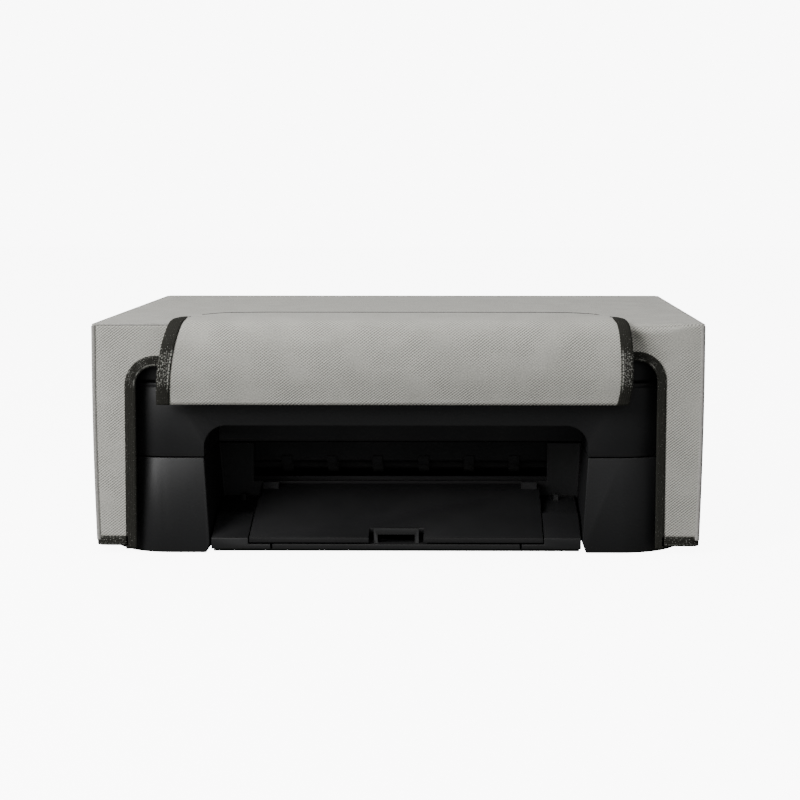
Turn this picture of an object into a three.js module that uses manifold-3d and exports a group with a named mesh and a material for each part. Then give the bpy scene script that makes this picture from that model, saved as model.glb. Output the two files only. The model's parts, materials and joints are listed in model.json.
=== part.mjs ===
// An A4 inkjet all-in-one printer under a fitted fabric dust cover with a front flap.
// Millimetres. +X is to the right, -Y is the front, +Z is up, z = 0 is the table.
import * as THREE from "three";
import Module from "manifold-3d";
import { mergeVertices } from "three/addons/utils/BufferGeometryUtils.js";

const wasm = await Module();
wasm.setup();

// ---------------------------------------------------------------- driving dimensions

const printerWidth = 428;
const printerDepth = 310;
const paperWidth = 210;
const wall = 2.5; // moulded casing wall
const gap = 0.3; // between pieces that touch
const running = 0.3; // radial clearance of a shaft in its hole

const footHeight = 0.8;
const footRadius = 7;
const baseTop = 70; // top edge of the lower case
const seam = 0.8; // joint line between the lower case and the middle shell
const shellTop = 124.4; // top rim of the middle shell
const neckHeight = 2.4; // dark recess between the middle shell and the scanner
const grooveDrop = 2.8; // thin groove round the middle shell, below its top rim
const grooveWidth = 0.7;
const grooveDepth = 0.6;
const bedTop = 142.8;
const bezelThickness = 3;
const lidThickness = 18;
const rearHousingTop = 149;
const frontCorner = 50; // plan radius of the casing's front corners
const rearCorner = 10;

const openingHalf = 139.7; // half width of the paper bay at the joint line
const openingFootHalf = 135.8; // the bay is a little narrower at the bottom
const openingTop = 93.6;
const openingCorner = 16;
const bayDepth = 77; // from the front face to the exit wall

const exitWindowHalf = 113; // the window in the exit wall, which the paper comes out of
const exitWindowSill = 40;
const trayMargin = 2.1; // tray beyond the paper on each side
const trayFrontTop = 11.8;
const trayRearTop = 38;
const trayThickness = 3.5;
const trayLength = bayDepth - 2; // stops short of the exit wall
const notchHalf = 20; // finger notch in the tray's front edge
const notchDepth = 13;
const lipBottom = 3.5;
const lipTop = 11.4;
const extensionHalf = 90.2;
const extensionTop = 7;
const extensionLength = bayDepth - 11;
const gripHalf = 16.5;
const wingStepAt = 34; // from the front face to the step in a wing
const wingStepTop = 23.6;
const wingStepDrop = 2.2;
const wingRearTop = 28.5;

const fabric = 1.6;
const sideSlack = 4.4; // air between the casing and the cover's side panels
const depthSlack = 3.4;
const topSlack = 1.4;
const hemBottom = 6;
const hemHeight = 6;
const bindingWidth = 8;
const printerShift = -2; // how far the printer sits off the cover's middle
const cutoutHalf = 195.2; // outer edge of the binding round the cover's front opening
const cutoutTop = 146.5;
const cutoutCorner = 22;
const flapHalf = 167;
const flapBulge = 14; // how far the flap stands in front of the cover
const flapThickness = 2;

// ---------------------------------------------------------------- places worked out from them

const half = printerWidth / 2;
const coverDepth = printerDepth + 2 * (depthSlack + fabric);
const overallDepth = coverDepth + flapBulge;
const coverBack = overallDepth / 2;
const coverFront = coverBack - coverDepth;
const frontY = coverFront + fabric + depthSlack;
const rearY = frontY + printerDepth;
const coverHalf = half + sideSlack + fabric;
const lidBottom = bedTop + gap + bezelThickness + 0.9;
const lidTop = lidBottom + lidThickness;
const coverTop = lidTop + topSlack + fabric;
const bezelTop = bedTop + gap + bezelThickness;
const unitRear = rearY - 50; // the scanner unit ends here and the rear feeder begins
const housingFront = unitRear + 4;
const exitY = frontY + bayDepth; // front face of the exit wall
const floorTop = footHeight + wall;
const trayHalf = paperWidth / 2 + trayMargin;

// ---------------------------------------------------------------- shape helpers

const solidOf = (geometry) => {
  const bare = geometry.clone();
  bare.deleteAttribute("normal");
  bare.deleteAttribute("uv");
  const merged = mergeVertices(bare, 1e-4);
  return new wasm.Manifold(
    new wasm.Mesh({
      numProp: 3,
      vertProperties: merged.attributes.position.array,
      triVerts: new Uint32Array(merged.index.array),
    }),
  );
};

const geometryOf = (solid) => {
  const mesh = solid.getMesh();
  const positions = new Float32Array(mesh.numVert * 3);
  for (let i = 0; i < mesh.numVert; i++) {
    positions.set(mesh.vertProperties.subarray(i * mesh.numProp, i * mesh.numProp + 3), i * 3);
  }
  const geometry = new THREE.BufferGeometry();
  geometry.setAttribute("position", new THREE.BufferAttribute(positions, 3));
  geometry.setIndex(new THREE.BufferAttribute(new Uint32Array(mesh.triVerts), 1));
  geometry.computeVertexNormals();
  return geometry;
};

const union = (...solids) => solids.reduce((joined, next) => joined.add(next));
const cut = (solid, ...tools) => tools.reduce((left, tool) => left.subtract(tool), solid);

const block = (x0, x1, y0, y1, z0, z1) => {
  const box = new THREE.BoxGeometry(x1 - x0, y1 - y0, z1 - z0);
  return solidOf(box.translate((x0 + x1) / 2, (y0 + y1) / 2, (z0 + z1) / 2));
};

const polygon = (points) => new THREE.Shape(points.map(([a, b]) => new THREE.Vector2(a, b)));

const extrude = (shape, depth, curveSegments) =>
  new THREE.ExtrudeGeometry(shape, { depth, bevelEnabled: false, curveSegments });

// A plan outline (X, Y) raised from z0 to z1.
const prismZ = (shape, z0, z1, curveSegments = 6) =>
  solidOf(extrude(shape, z1 - z0, curveSegments).translate(0, 0, z0));

// A side outline (Y, Z) drawn from x0 to x1.
const alongX = new THREE.Matrix4().makeBasis(
  new THREE.Vector3(0, 1, 0),
  new THREE.Vector3(0, 0, 1),
  new THREE.Vector3(1, 0, 0),
);
const prismX = (shape, x0, x1, curveSegments = 6) =>
  solidOf(extrude(shape, x1 - x0, curveSegments).applyMatrix4(alongX).translate(x0, 0, 0));

// A front outline (X, Z) drawn from y0 to y1.
const alongY = new THREE.Matrix4().makeBasis(
  new THREE.Vector3(1, 0, 0),
  new THREE.Vector3(0, 0, 1),
  new THREE.Vector3(0, -1, 0),
);
const prismY = (shape, y0, y1, curveSegments = 6) =>
  solidOf(extrude(shape, y1 - y0, curveSegments).applyMatrix4(alongY).translate(0, y1, 0));

const rodX = (x0, x1, y, z, radius, sides = 12) => {
  const rod = new THREE.CylinderGeometry(radius, radius, x1 - x0, sides).rotateZ(-Math.PI / 2);
  return solidOf(rod.translate((x0 + x1) / 2, y, z));
};

const rodZ = (x, y, z0, z1, radius, sides = 12) => {
  const rod = new THREE.CylinderGeometry(radius, radius, z1 - z0, sides).rotateX(Math.PI / 2);
  return solidOf(rod.translate(x, y, (z0 + z1) / 2));
};

// A turned piece along X: steps are [x, radius] pairs from left to right.
const turnedX = (steps, y, z, sides = 12) => {
  const first = steps[0][0];
  const last = steps[steps.length - 1][0];
  const profile = [[first, 0], ...steps, [last, 0]].map(([x, r]) => new THREE.Vector2(r, x));
  return solidOf(new THREE.LatheGeometry(profile, sides).rotateZ(-Math.PI / 2).translate(0, y, z));
};

// A shaft with raised rings at the given places.
const ringedShaft = (x0, x1, shaftRadius, rings, ringHalf, ringRadius) => {
  const steps = [[x0, shaftRadius]];
  for (const x of rings) {
    steps.push([x - ringHalf, shaftRadius], [x - ringHalf, ringRadius]);
    steps.push([x + ringHalf, ringRadius], [x + ringHalf, shaftRadius]);
  }
  steps.push([x1, shaftRadius]);
  return steps;
};

// Plan outline with rounded corners, given the front and rear radii.
const plan = (x0, x1, y0, y1, frontLeft, frontRight, rear) => {
  const shape = new THREE.Shape();
  shape.moveTo(x0 + frontLeft, y0);
  shape.lineTo(x1 - frontRight, y0);
  shape.absarc(x1 - frontRight, y0 + frontRight, frontRight, -Math.PI / 2, 0, false);
  shape.lineTo(x1, y1 - rear);
  shape.absarc(x1 - rear, y1 - rear, rear, 0, Math.PI / 2, false);
  shape.lineTo(x0 + rear, y1);
  shape.absarc(x0 + rear, y1 - rear, rear, Math.PI / 2, Math.PI, false);
  shape.lineTo(x0, y0 + frontLeft);
  shape.absarc(x0 + frontLeft, y0 + frontLeft, frontLeft, Math.PI, 1.5 * Math.PI, false);
  return shape;
};

// The casing's plan outline, moved in by inset, back to a chosen rear edge.
const casing = (inset, back, rear = rearCorner) =>
  plan(
    -half + inset,
    half - inset,
    frontY + inset,
    back - inset,
    frontCorner - inset,
    frontCorner - inset,
    Math.max(rear - inset, 1),
  );

// ---------------------------------------------------------------- the scene graph and its materials

const coveredPrinter = new THREE.Group();
const printer = new THREE.Group();
const dustCover = new THREE.Group();
printer.position.x = printerShift;
coveredPrinter.add(printer, dustCover);
const paint = (color, roughness, metalness = 0) =>
  new THREE.MeshStandardMaterial({ color, roughness, metalness });
const blackPlastic = paint(0x1a1a1b, 0.45);
const innerPlastic = paint(0x111112, 0.6);
const steel = paint(0x9a9c9e, 0.35, 1);
const rubber = paint(0x151515, 0.85);
const gearPlastic = paint(0xd9d6cc, 0.5);
const whitePlastic = paint(0xe4e4e0, 0.6);
const circuitGreen = paint(0x1f5a38, 0.6);
const clearGlass = paint(0xbfd0cc, 0.05);
const greyFabric = paint(0xb0afa9, 0.9);
const bindingTape = paint(0x2a2a24, 0.9);

const add = (name, solid, material, holder = printer) => {
  const mesh = new THREE.Mesh(geometryOf(solid), material);
  mesh.name = name;
  holder.add(mesh);
};

// ---------------------------------------------------------------- lower case and feet

// The bay's outline: slanted sides, with the pillars' lower inner corners chamfered.
const bayOutline = (grow, bottom, top) => {
  const chamferTop = 7.5;
  const chamferOut = 2.6;
  const side = [
    [openingFootHalf + chamferOut + grow, bottom],
    [openingFootHalf + chamferOut + grow, footHeight],
    [openingFootHalf + grow, chamferTop],
    [openingHalf + grow, top],
  ];
  const mirrored = side.map(([x, z]) => [-x, z]).reverse();
  return polygon([...side, ...mirrored]);
};

const railHalf = half - 12.5; // half the span between the chassis's side plates
const inletX = [-half + 18, -half + 48]; // mains inlet in the rear wall
const usbX = [half - 52, half - 36];
const inletZ = [14, 38];
const usbZ = [floorTop + 6, floorTop + 18];

const baseCase = () => {
  const skin = cut(
    prismZ(casing(0, rearY), footHeight, baseTop),
    prismZ(casing(wall, rearY), floorTop, baseTop + 1),
    prismY(bayOutline(0, -1, baseTop + 1), frontY - 5, exitY),
    block(inletX[0], inletX[1], rearY - 5, rearY + 5, inletZ[0], inletZ[1]),
    block(usbX[0], usbX[1], rearY - 5, rearY + 5, usbZ[0], usbZ[1]),
  );
  const bayWalls = cut(
    prismY(bayOutline(wall, footHeight, baseTop), frontY + 1, exitY),
    prismY(bayOutline(0, -1, baseTop + 1), frontY - 5, exitY + 5),
  );
  const exitWall = cut(
    prismY(bayOutline(wall, footHeight, baseTop), exitY, exitY + wall),
    block(-exitWindowHalf, exitWindowHalf, exitY - 1, exitY + wall + 1, exitWindowSill, baseTop + 1),
  );
  return union(skin, bayWalls, exitWall);
};
add("base_case", baseCase(), blackPlastic);

const footX = half - 24;
const footPlaces = {
  front_left: [-footX, frontY + 38],
  front_right: [footX, frontY + 38],
  rear_left: [-footX, rearY - 22],
  rear_right: [footX, rearY - 22],
};
for (const [corner, [x, y]] of Object.entries(footPlaces)) {
  add("foot_" + corner, rodZ(x, y, 0, footHeight, footRadius), rubber);
}

// ---------------------------------------------------------------- rear paper feeder

const slotHalf = paperWidth / 2 + 11;
const slotFront = housingFront + 5;
const slotRear = rearY - 5;
const supportThickness = 2.6;
const unitAxis = { y: (unitRear + housingFront) / 2, z: 138 };
const unitLug = { radius: 5, inner: 150, width: 10 };
const pinRadius = 2;

const lugSpans = (side) => {
  const [a, b] = [unitLug.inner, unitLug.inner + unitLug.width];
  const spans = { moving: [a, b], fixed: [[a - 10.5, a - 0.5], [b + 0.5, b + 10.5]] };
  if (side > 0) return spans;
  const flip = ([p, q]) => [-q, -p];
  return { moving: flip(spans.moving), fixed: spans.fixed.map(flip) };
};

const rearHousing = () => {
  const back = rearY;
  const shell = cut(
    prismZ(plan(-half, half, housingFront, back, 2, 2, rearCorner), baseTop + gap, rearHousingTop),
    prismZ(
      plan(-half + wall, half - wall, housingFront + wall, back - wall, 1, 1, rearCorner - wall),
      baseTop,
      rearHousingTop - wall,
    ),
    block(-slotHalf, slotHalf, slotFront, slotRear, rearHousingTop - 5, rearHousingTop + 1),
    block(-slotHalf - 4, slotHalf + 4, housingFront - 1, housingFront + 4, baseTop, 124),
  );
  const parts = [shell];
  for (const side of [-1, 1]) {
    const { moving, fixed } = lugSpans(side);
    for (const [x0, x1] of fixed) parts.push(rodX(x0, x1, unitAxis.y, unitAxis.z, unitLug.radius));
    parts[0] = cut(
      parts[0],
      rodX(moving[0] - 0.5, moving[1] + 0.5, unitAxis.y, unitAxis.z, unitLug.radius + 1),
    );
  }
  return cut(
    union(...parts),
    rodX(-half, half, unitAxis.y, unitAxis.z, pinRadius + running),
  );
};
add("rear_housing", rearHousing(), blackPlastic);

const hopperTop = { y: rearY - 12, z: rearHousingTop - 5 };
const hopperFoot = { y: hopperTop.y - 54, z: 62 };
const hopperLength = Math.hypot(hopperTop.y - hopperFoot.y, hopperTop.z - hopperFoot.z);
const slope = {
  y: (hopperFoot.y - hopperTop.y) / hopperLength,
  z: (hopperFoot.z - hopperTop.z) / hopperLength,
};
const up = { y: slope.z, z: -slope.y }; // away from the hopper's face, towards the front
const onHopper = (along, above) => [
  hopperTop.y + slope.y * along + up.y * above,
  hopperTop.z + slope.z * along + up.z * above,
];
const hopperStrip = (a0, a1, h0, h1) =>
  polygon([onHopper(a0, h0), onHopper(a0, h1), onHopper(a1, h1), onHopper(a1, h0)]);

const pickAlong = hopperLength * 0.78;
const pickAbove = 14;
const pickRadius = 12;
const pickHalf = 18;
const pickShaft = 3;
const pickAt = onHopper(pickAlong, pickAbove);
const earOutline = hopperStrip(pickAlong - 7, pickAlong + 7, -1, pickAbove + 6);
add(
  "rear_hopper",
  cut(
    union(
      prismX(hopperStrip(0, hopperLength, -3, 0), -slotHalf + 1, slotHalf - 1),
      prismX(earOutline, -slotHalf + 1, -slotHalf + 4),
      prismX(earOutline, slotHalf - 4, slotHalf - 1),
    ),
    rodX(-slotHalf, slotHalf, ...pickAt, pickShaft + running),
  ),
  innerPlastic,
);

const guideThickness = 3;
const guideHeight = 13;
for (const [side, name] of [[-1, "left"], [1, "right"]]) {
  const inner = paperWidth / 2 + 1;
  const [x0, x1] = side < 0 ? [-inner - guideThickness, -inner] : [inner, inner + guideThickness];
  const fin = prismX(hopperStrip(6, 52, 0.6, guideHeight), x0, x1);
  const [f0, f1] = side < 0 ? [x0, x1 + 14] : [x0 - 14, x1];
  const ledge = prismX(hopperStrip(14, 40, 0.6, 2.6), f0, f1);
  add("paper_guide_" + name, union(fin, ledge), innerPlastic);
}

// The paper support lies flat over the slot and swings back on pins at its rear edge.
const supportAxis = { y: slotRear - 2.2, z: rearHousingTop - supportThickness / 2 - gap };
const supportPlate = cut(
  union(
    block(
      -slotHalf + 0.8,
      slotHalf - 0.8,
      slotFront + 0.8,
      supportAxis.y,
      rearHousingTop - supportThickness - gap,
      rearHousingTop - gap,
    ),
    rodX(-slotHalf + 0.8, slotHalf - 0.8, supportAxis.y, supportAxis.z, supportThickness / 2, 12),
  ),
  block(-18, 18, slotFront - 1, slotFront + 6, rearHousingTop - 6, rearHousingTop + 1),
);
add("paper_support", supportPlate, blackPlastic);

add(
  "pick_roller",
  turnedX(
    ringedShaft(-slotHalf, slotHalf, pickShaft, [0], pickHalf, pickRadius),
    pickAt[0],
    pickAt[1],
    20,
  ),
  rubber,
);

// ---------------------------------------------------------------- chassis, rail and carriage

const gearModule = 1.25;
const feedTeeth = 24;
const exitTeeth = 24;
const transferTeeth = 32;
const pinionTeeth = 12;
const reach = (teethA, teethB) => ((teethA + teethB) * gearModule) / 2;

const exitRollerY = exitY + 19;
const feedY = exitRollerY + reach(feedTeeth, transferTeeth) + reach(transferTeeth, exitTeeth);
const chassisBack = feedY + 38; // front face of the upright steel plate
const chassisTop = 104;
const chassisFoot = floorTop + 4;
const railAt = { y: chassisBack - 20, z: 76 };
const railRadius = 4;
const pulleyAt = { x: railHalf - 13.5, y: chassisBack - 10 };
const beltZ = [90.5, 95.5];
const shelfZ = [86.3, 88];
const steelSheet = 2;

const rollerZ = 50;
const rollerRadius = 6;
const starRadius = 4.5;
const starZ = rollerZ + rollerRadius + running + starRadius;

const shaftRadius = 3;
const gearWidth = 4.5;
const gearX = railHalf + steelSheet + 1; // the gear train runs outside the chassis's left plate
const gearLeft = -gearX - gearWidth;
const feedAt = { y: feedY, z: rollerZ };
const exitAt = { y: exitRollerY, z: rollerZ };
const transferAt = { y: feedY - reach(feedTeeth, transferTeeth), z: rollerZ };
const pinionReach = reach(feedTeeth, pinionTeeth);
const pinionAngle = -Math.PI / 3;
const pinionAt = {
  y: feedY + pinionReach * Math.cos(pinionAngle),
  z: rollerZ + pinionReach * Math.sin(pinionAngle),
};

const chassis = () => {
  const back = block(
    -railHalf - steelSheet,
    railHalf + steelSheet,
    chassisBack,
    chassisBack + steelSheet,
    chassisFoot,
    chassisTop,
  );
  const parts = [back];
  for (const side of [-1, 1]) {
    const x = [side * railHalf, side * (railHalf + steelSheet)].sort((a, b) => a - b);
    parts.push(block(x[0], x[1], exitRollerY - 10, chassisBack + 1, chassisFoot, chassisTop - 4));
    const shelf = [side * (pulleyAt.x - 10), side * (pulleyAt.x + 10)].sort((a, b) => a - b);
    parts.push(block(shelf[0], shelf[1], pulleyAt.y - 6, chassisBack + 1, shelfZ[0], shelfZ[1]));
  }
  const paperSlot = block(
    -slotHalf,
    slotHalf,
    chassisBack - 1,
    chassisBack + 3,
    rollerZ - 1,
    rollerZ + 16,
  );
  const shaftHoles = [-1, 1].map((side) =>
    rodZ(side * pulleyAt.x, pulleyAt.y, shelfZ[0] - 1, shelfZ[1] + 1, 2.2, 12),
  );
  for (const at of [feedAt, exitAt, pinionAt]) {
    shaftHoles.push(rodX(-railHalf - 5, -railHalf + 1, at.y, at.z, shaftRadius + running));
  }
  const axle = rodX(gearLeft - 0.5, -railHalf - 1, transferAt.y, transferAt.z, 2, 12);
  return union(cut(union(...parts), paperSlot, ...shaftHoles), axle);
};
add("chassis", chassis(), steel);

add(
  "carriage_rail",
  rodX(-railHalf + gap, railHalf - gap, railAt.y, railAt.z, railRadius),
  steel,
);

const carriageHalf = 48;
const carriageX = railHalf - carriageHalf - 4; // parked at the right
const carriageBottom = 53;
const pocketFloor = 69;
const carriageTop = 104;
const carriageFront = exitRollerY + 10;
const carriageBack = railAt.y - 6;
const pocketHalf = 21.5;
const pocketX = 23;

const carriage = () => {
  const body = union(
    block(
      carriageX - carriageHalf + 2,
      carriageX + carriageHalf - 2,
      carriageFront + 4,
      feedY - 8,
      carriageBottom,
      66.5,
    ),
    block(
      carriageX - carriageHalf,
      carriageX + carriageHalf,
      carriageFront,
      carriageBack,
      66,
      carriageTop,
    ),
    block(carriageX - 40, carriageX + 40, carriageBack - 1, railAt.y + 7, 69, 85),
    block(carriageX - 10, carriageX + 10, carriageBack - 1, pulleyAt.y - 7, 84, 98),
  );
  const pockets = [-1, 1].map((side) =>
    block(
      carriageX + side * pocketX - pocketHalf,
      carriageX + side * pocketX + pocketHalf,
      carriageFront + wall,
      carriageBack - wall,
      pocketFloor,
      carriageTop + 1,
    ),
  );
  const bore = rodX(
    carriageX - carriageHalf,
    carriageX + carriageHalf,
    railAt.y,
    railAt.z,
    railRadius + running,
  );
  return cut(body, ...pockets, bore);
};
add("carriage", carriage(), innerPlastic);

for (const [side, name] of [[-1, "colour"], [1, "black"]]) {
  const clear = 0.5;
  const y0 = carriageFront + wall + clear;
  const y1 = carriageBack - wall - clear;
  const outline = polygon([
    [y0, pocketFloor + clear],
    [y1, pocketFloor + clear],
    [y1, carriageTop - 4],
    [y0 + 24, carriageTop + 6],
    [y0, carriageTop + 6],
  ]);
  const x = carriageX + side * pocketX;
  add(
    "ink_cartridge_" + name,
    prismX(outline, x - pocketHalf + clear, x + pocketHalf - clear),
    rubber,
  );
}

const beltInner = 5.6;
const beltOuter = 6.6;
const stadium = (r) => {
  const shape = new THREE.Shape();
  shape.absarc(pulleyAt.x, pulleyAt.y, r, -Math.PI / 2, Math.PI / 2, false);
  shape.absarc(-pulleyAt.x, pulleyAt.y, r, Math.PI / 2, 1.5 * Math.PI, false);
  return shape;
};
add(
  "carriage_belt",
  cut(
    prismZ(stadium(beltOuter), beltZ[0], beltZ[1], 8),
    prismZ(stadium(beltInner), beltZ[0] - 1, beltZ[1] + 1, 8),
  ),
  rubber,
);

const pulley = (x, shaftFoot) =>
  union(
    rodZ(x, pulleyAt.y, beltZ[0] - 2, beltZ[1] + 2, beltInner - gap, 16),
    rodZ(x, pulleyAt.y, beltZ[0] - 2, beltZ[0] - gap, beltOuter + 1, 16),
    rodZ(x, pulleyAt.y, beltZ[1] + gap, beltZ[1] + 2, beltOuter + 1, 16),
    rodZ(x, pulleyAt.y, shaftFoot, beltZ[0] - 1, 1.6, 12),
  );
const motorTop = 64;
add("motor_pulley", pulley(-pulleyAt.x, motorTop + gap), gearPlastic);
add("idler_pulley", pulley(pulleyAt.x, shelfZ[0] - 4), gearPlastic);
add(
  "carriage_motor",
  rodZ(-pulleyAt.x, pulleyAt.y, 46, motorTop, 9, 20),
  steel,
);

// ---------------------------------------------------------------- rollers, gears and platen

const rollerHalf = paperWidth / 2 + 8;
const bracketInner = rollerHalf + 2;
const bracketThickness = 3;
const starShaftRadius = 2;

// Trapezoid teeth, thin enough for free running; phase is the angle of one tooth's middle.
const gearOutline = (teeth, phase) => {
  const pitchRadius = (teeth * gearModule) / 2;
  const tip = pitchRadius + 0.8 * gearModule;
  const root = pitchRadius - 1.05 * gearModule;
  const pitch = (2 * Math.PI) / teeth;
  const points = [];
  for (let i = 0; i < teeth; i++) {
    const middle = phase + i * pitch;
    for (const [r, share] of [[root, -0.27], [tip, -0.12], [tip, 0.12], [root, 0.27]]) {
      const angle = middle + share * pitch;
      points.push([r * Math.cos(angle), r * Math.sin(angle)]);
    }
  }
  return points;
};

const gear = (teeth, at, phase, bore, hubX) => {
  const outline = gearOutline(teeth, phase).map(([y, z]) => [at.y + y, at.z + z]);
  const blank = prismX(polygon(outline), hubX, hubX + gearWidth);
  return bore ? cut(blank, rodX(hubX - 1, hubX + gearWidth + 1, at.y, at.z, bore)) : blank;
};

// Phase of a gear driven by another: a gap must face the driver's tooth.
const meshedPhase = (driverTeeth, driverPhase, from, to, teeth) => {
  const direction = Math.atan2(to.z - from.z, to.y - from.y);
  const driverPitch = (2 * Math.PI) / driverTeeth;
  const offset = driverPhase - direction;
  const toTooth = offset - Math.round(offset / driverPitch) * driverPitch;
  return direction + Math.PI - (toTooth * driverTeeth) / teeth + Math.PI / teeth;
};

const feedPhase = 0;
const transferPhase = meshedPhase(feedTeeth, feedPhase, feedAt, transferAt, transferTeeth);
const exitPhase = meshedPhase(transferTeeth, transferPhase, transferAt, exitAt, exitTeeth);
const pinionPhase = meshedPhase(feedTeeth, feedPhase, feedAt, pinionAt, pinionTeeth);

add(
  "feed_roller",
  turnedX(
    [
      [gearLeft - 1, shaftRadius],
      [-rollerHalf, shaftRadius],
      [-rollerHalf, rollerRadius],
      [rollerHalf, rollerRadius],
      [rollerHalf, shaftRadius],
      [bracketInner + bracketThickness + 2, shaftRadius],
    ],
    feedY,
    rollerZ,
  ),
  steel,
);
const gearBore = shaftRadius + 0.25;
add("feed_gear", gear(feedTeeth, feedAt, feedPhase, gearBore, gearLeft), gearPlastic);
add("transfer_gear", gear(transferTeeth, transferAt, transferPhase, 2.5, gearLeft), gearPlastic);
add("exit_gear", gear(exitTeeth, exitAt, exitPhase, gearBore, gearLeft), gearPlastic);
add(
  "motor_pinion",
  union(
    gear(pinionTeeth, pinionAt, pinionPhase, 0, gearLeft),
    rodX(gearLeft + 1, -railHalf + 3, pinionAt.y, pinionAt.z, 1.6, 12),
  ),
  gearPlastic,
);
add(
  "feed_motor",
  rodX(-railHalf + 3 + gap, -railHalf + 33, pinionAt.y, pinionAt.z, 13.5, 20),
  steel,
);

const starPlaces = [-88, -53, -18, 18, 53, 88];
const exitSteps = ringedShaft(
  gearLeft - 1,
  bracketInner + bracketThickness + 2,
  shaftRadius,
  starPlaces,
  4,
  rollerRadius,
);
add("exit_roller", turnedX(exitSteps, exitRollerY, rollerZ), rubber);
const starSteps = ringedShaft(
  -bracketInner - bracketThickness - 1,
  bracketInner + bracketThickness + 1,
  starShaftRadius,
  starPlaces,
  0.8,
  starRadius,
);
add("star_wheels", turnedX(starSteps, exitRollerY, starZ), steel);

const bracketOutline = polygon([
  [exitRollerY - 8, floorTop + 4],
  [feedY + 9, floorTop + 4],
  [feedY + 9, rollerZ + 8],
  [feedY - 6, rollerZ + 8],
  [feedY - 6, 46],
  [exitRollerY + 8, 46],
  [exitRollerY + 8, starZ + 6],
  [exitRollerY - 8, starZ + 6],
]);
for (const [side, name] of [[-1, "left"], [1, "right"]]) {
  const x = [side * bracketInner, side * (bracketInner + bracketThickness)].sort((a, b) => a - b);
  const holes = [
    [feedY, rollerZ, shaftRadius],
    [exitRollerY, rollerZ, shaftRadius],
    [exitRollerY, starZ, starShaftRadius],
  ].map(([y, z, r]) => rodX(x[0] - 1, x[1] + 1, y, z, r + running));
  const plate = cut(prismX(bracketOutline, x[0], x[1]), ...holes);
  add("roller_bracket_" + name, plate, innerPlastic);
}

const platenHalf = bracketInner - gap;
const platenFront = exitY + 3;
const platenFrame = () => {
  const t = wall;
  const back = feedY - 7;
  const top = 47;
  const outline = polygon([
    [platenFront, floorTop + 4],
    [back, floorTop + 4],
    [back, top],
    [exitRollerY + 8.5, top],
    [exitRollerY + 8.5, top - t],
    [back - t, top - t],
    [back - t, floorTop + 4 + t],
    [platenFront + t, floorTop + 4 + t],
    [platenFront + t, 43],
    [platenFront, 43],
  ]);
  const parts = [prismX(outline, -platenHalf, platenHalf)];
  const ribs = 9;
  for (let i = 0; i < ribs; i++) {
    const x = -paperWidth / 2 + ((i + 0.5) * paperWidth) / ribs;
    parts.push(block(x - 1, x + 1, exitRollerY + 10, back - 2, top - 0.5, top + 1.6));
  }
  return union(...parts);
};
add("platen_frame", platenFrame(), innerPlastic);

const starBar = () => {
  const y0 = exitRollerY - 15;
  const y1 = exitRollerY + 6;
  const bottom = 55;
  const top = starZ + 9;
  const outline = polygon([
    [y0, bottom],
    [y0, top],
    [y1, top],
    [y1, top - wall],
    [y0 + wall, top - wall],
    [y0 + wall, bottom],
  ]);
  const parts = [prismX(outline, -bracketInner + gap, bracketInner - gap)];
  for (const x of starPlaces) parts.push(block(x - 4, x + 4, y0 - 1.2, y0 + wall, bottom - 2.4, bottom + 4));
  return union(...parts);
};
add("star_wheel_bar", starBar(), innerPlastic);

// ---------------------------------------------------------------- service station and electronics

const stationX = [bracketInner + bracketThickness + 4, railHalf - 6];
add(
  "service_station",
  union(
    block(stationX[0], stationX[1], carriageFront + 2, feedY - 6, floorTop + gap, 44),
    block(stationX[0] + 12, stationX[0] + 28, carriageFront + 8, carriageFront + 34, 43, 51),
    block(stationX[1] - 26, stationX[1] - 10, carriageFront + 8, carriageFront + 34, 43, 51),
  ),
  innerPlastic,
);

const boardX = [half - 76, half - 12];
const boardZ = usbZ[0] - 1.6 - gap;
const mainBoard = () => {
  const y0 = chassisBack + 6;
  const y1 = rearY - wall - 1;
  const parts = [block(boardX[0], boardX[1], y0, y1, boardZ, boardZ + 1.6)];
  parts.push(block(usbX[0] + 0.6, usbX[1] - 0.6, y1 - 16, y1, boardZ + 1, usbZ[1] - 0.6));
  parts.push(block(usbX[0] + 0.6, usbX[1] - 0.6, y1 - 1, rearY - 0.6, usbZ[0] + 0.6, usbZ[1] - 0.6));
  parts.push(block(boardX[0] + 12, boardX[0] + 32, y0 + 20, y0 + 40, boardZ + 1, boardZ + 4));
  parts.push(block(boardX[0] + 40, boardX[0] + 50, y0 + 8, y0 + 50, boardZ + 1, boardZ + 8));
  return union(...parts);
};
add("main_board", mainBoard(), circuitGreen);

const powerSupply = () =>
  union(
    block(-half + 9, -half + 70, chassisBack + 6, rearY - wall - 1, floorTop + gap, 44),
    block(
      inletX[0] + 0.6,
      inletX[1] - 0.6,
      rearY - wall - 2,
      rearY - 0.8,
      inletZ[0] + 0.6,
      inletZ[1] - 0.6,
    ),
  );
add(
  "power_supply",
  cut(
    powerSupply(),
    block(inletX[0] + 6, inletX[1] - 6, rearY - 14, rearY + 1, inletZ[0] + 6, inletZ[1] - 6),
  ),
  innerPlastic,
);

// ---------------------------------------------------------------- paper tray, its extension and wings

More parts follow.
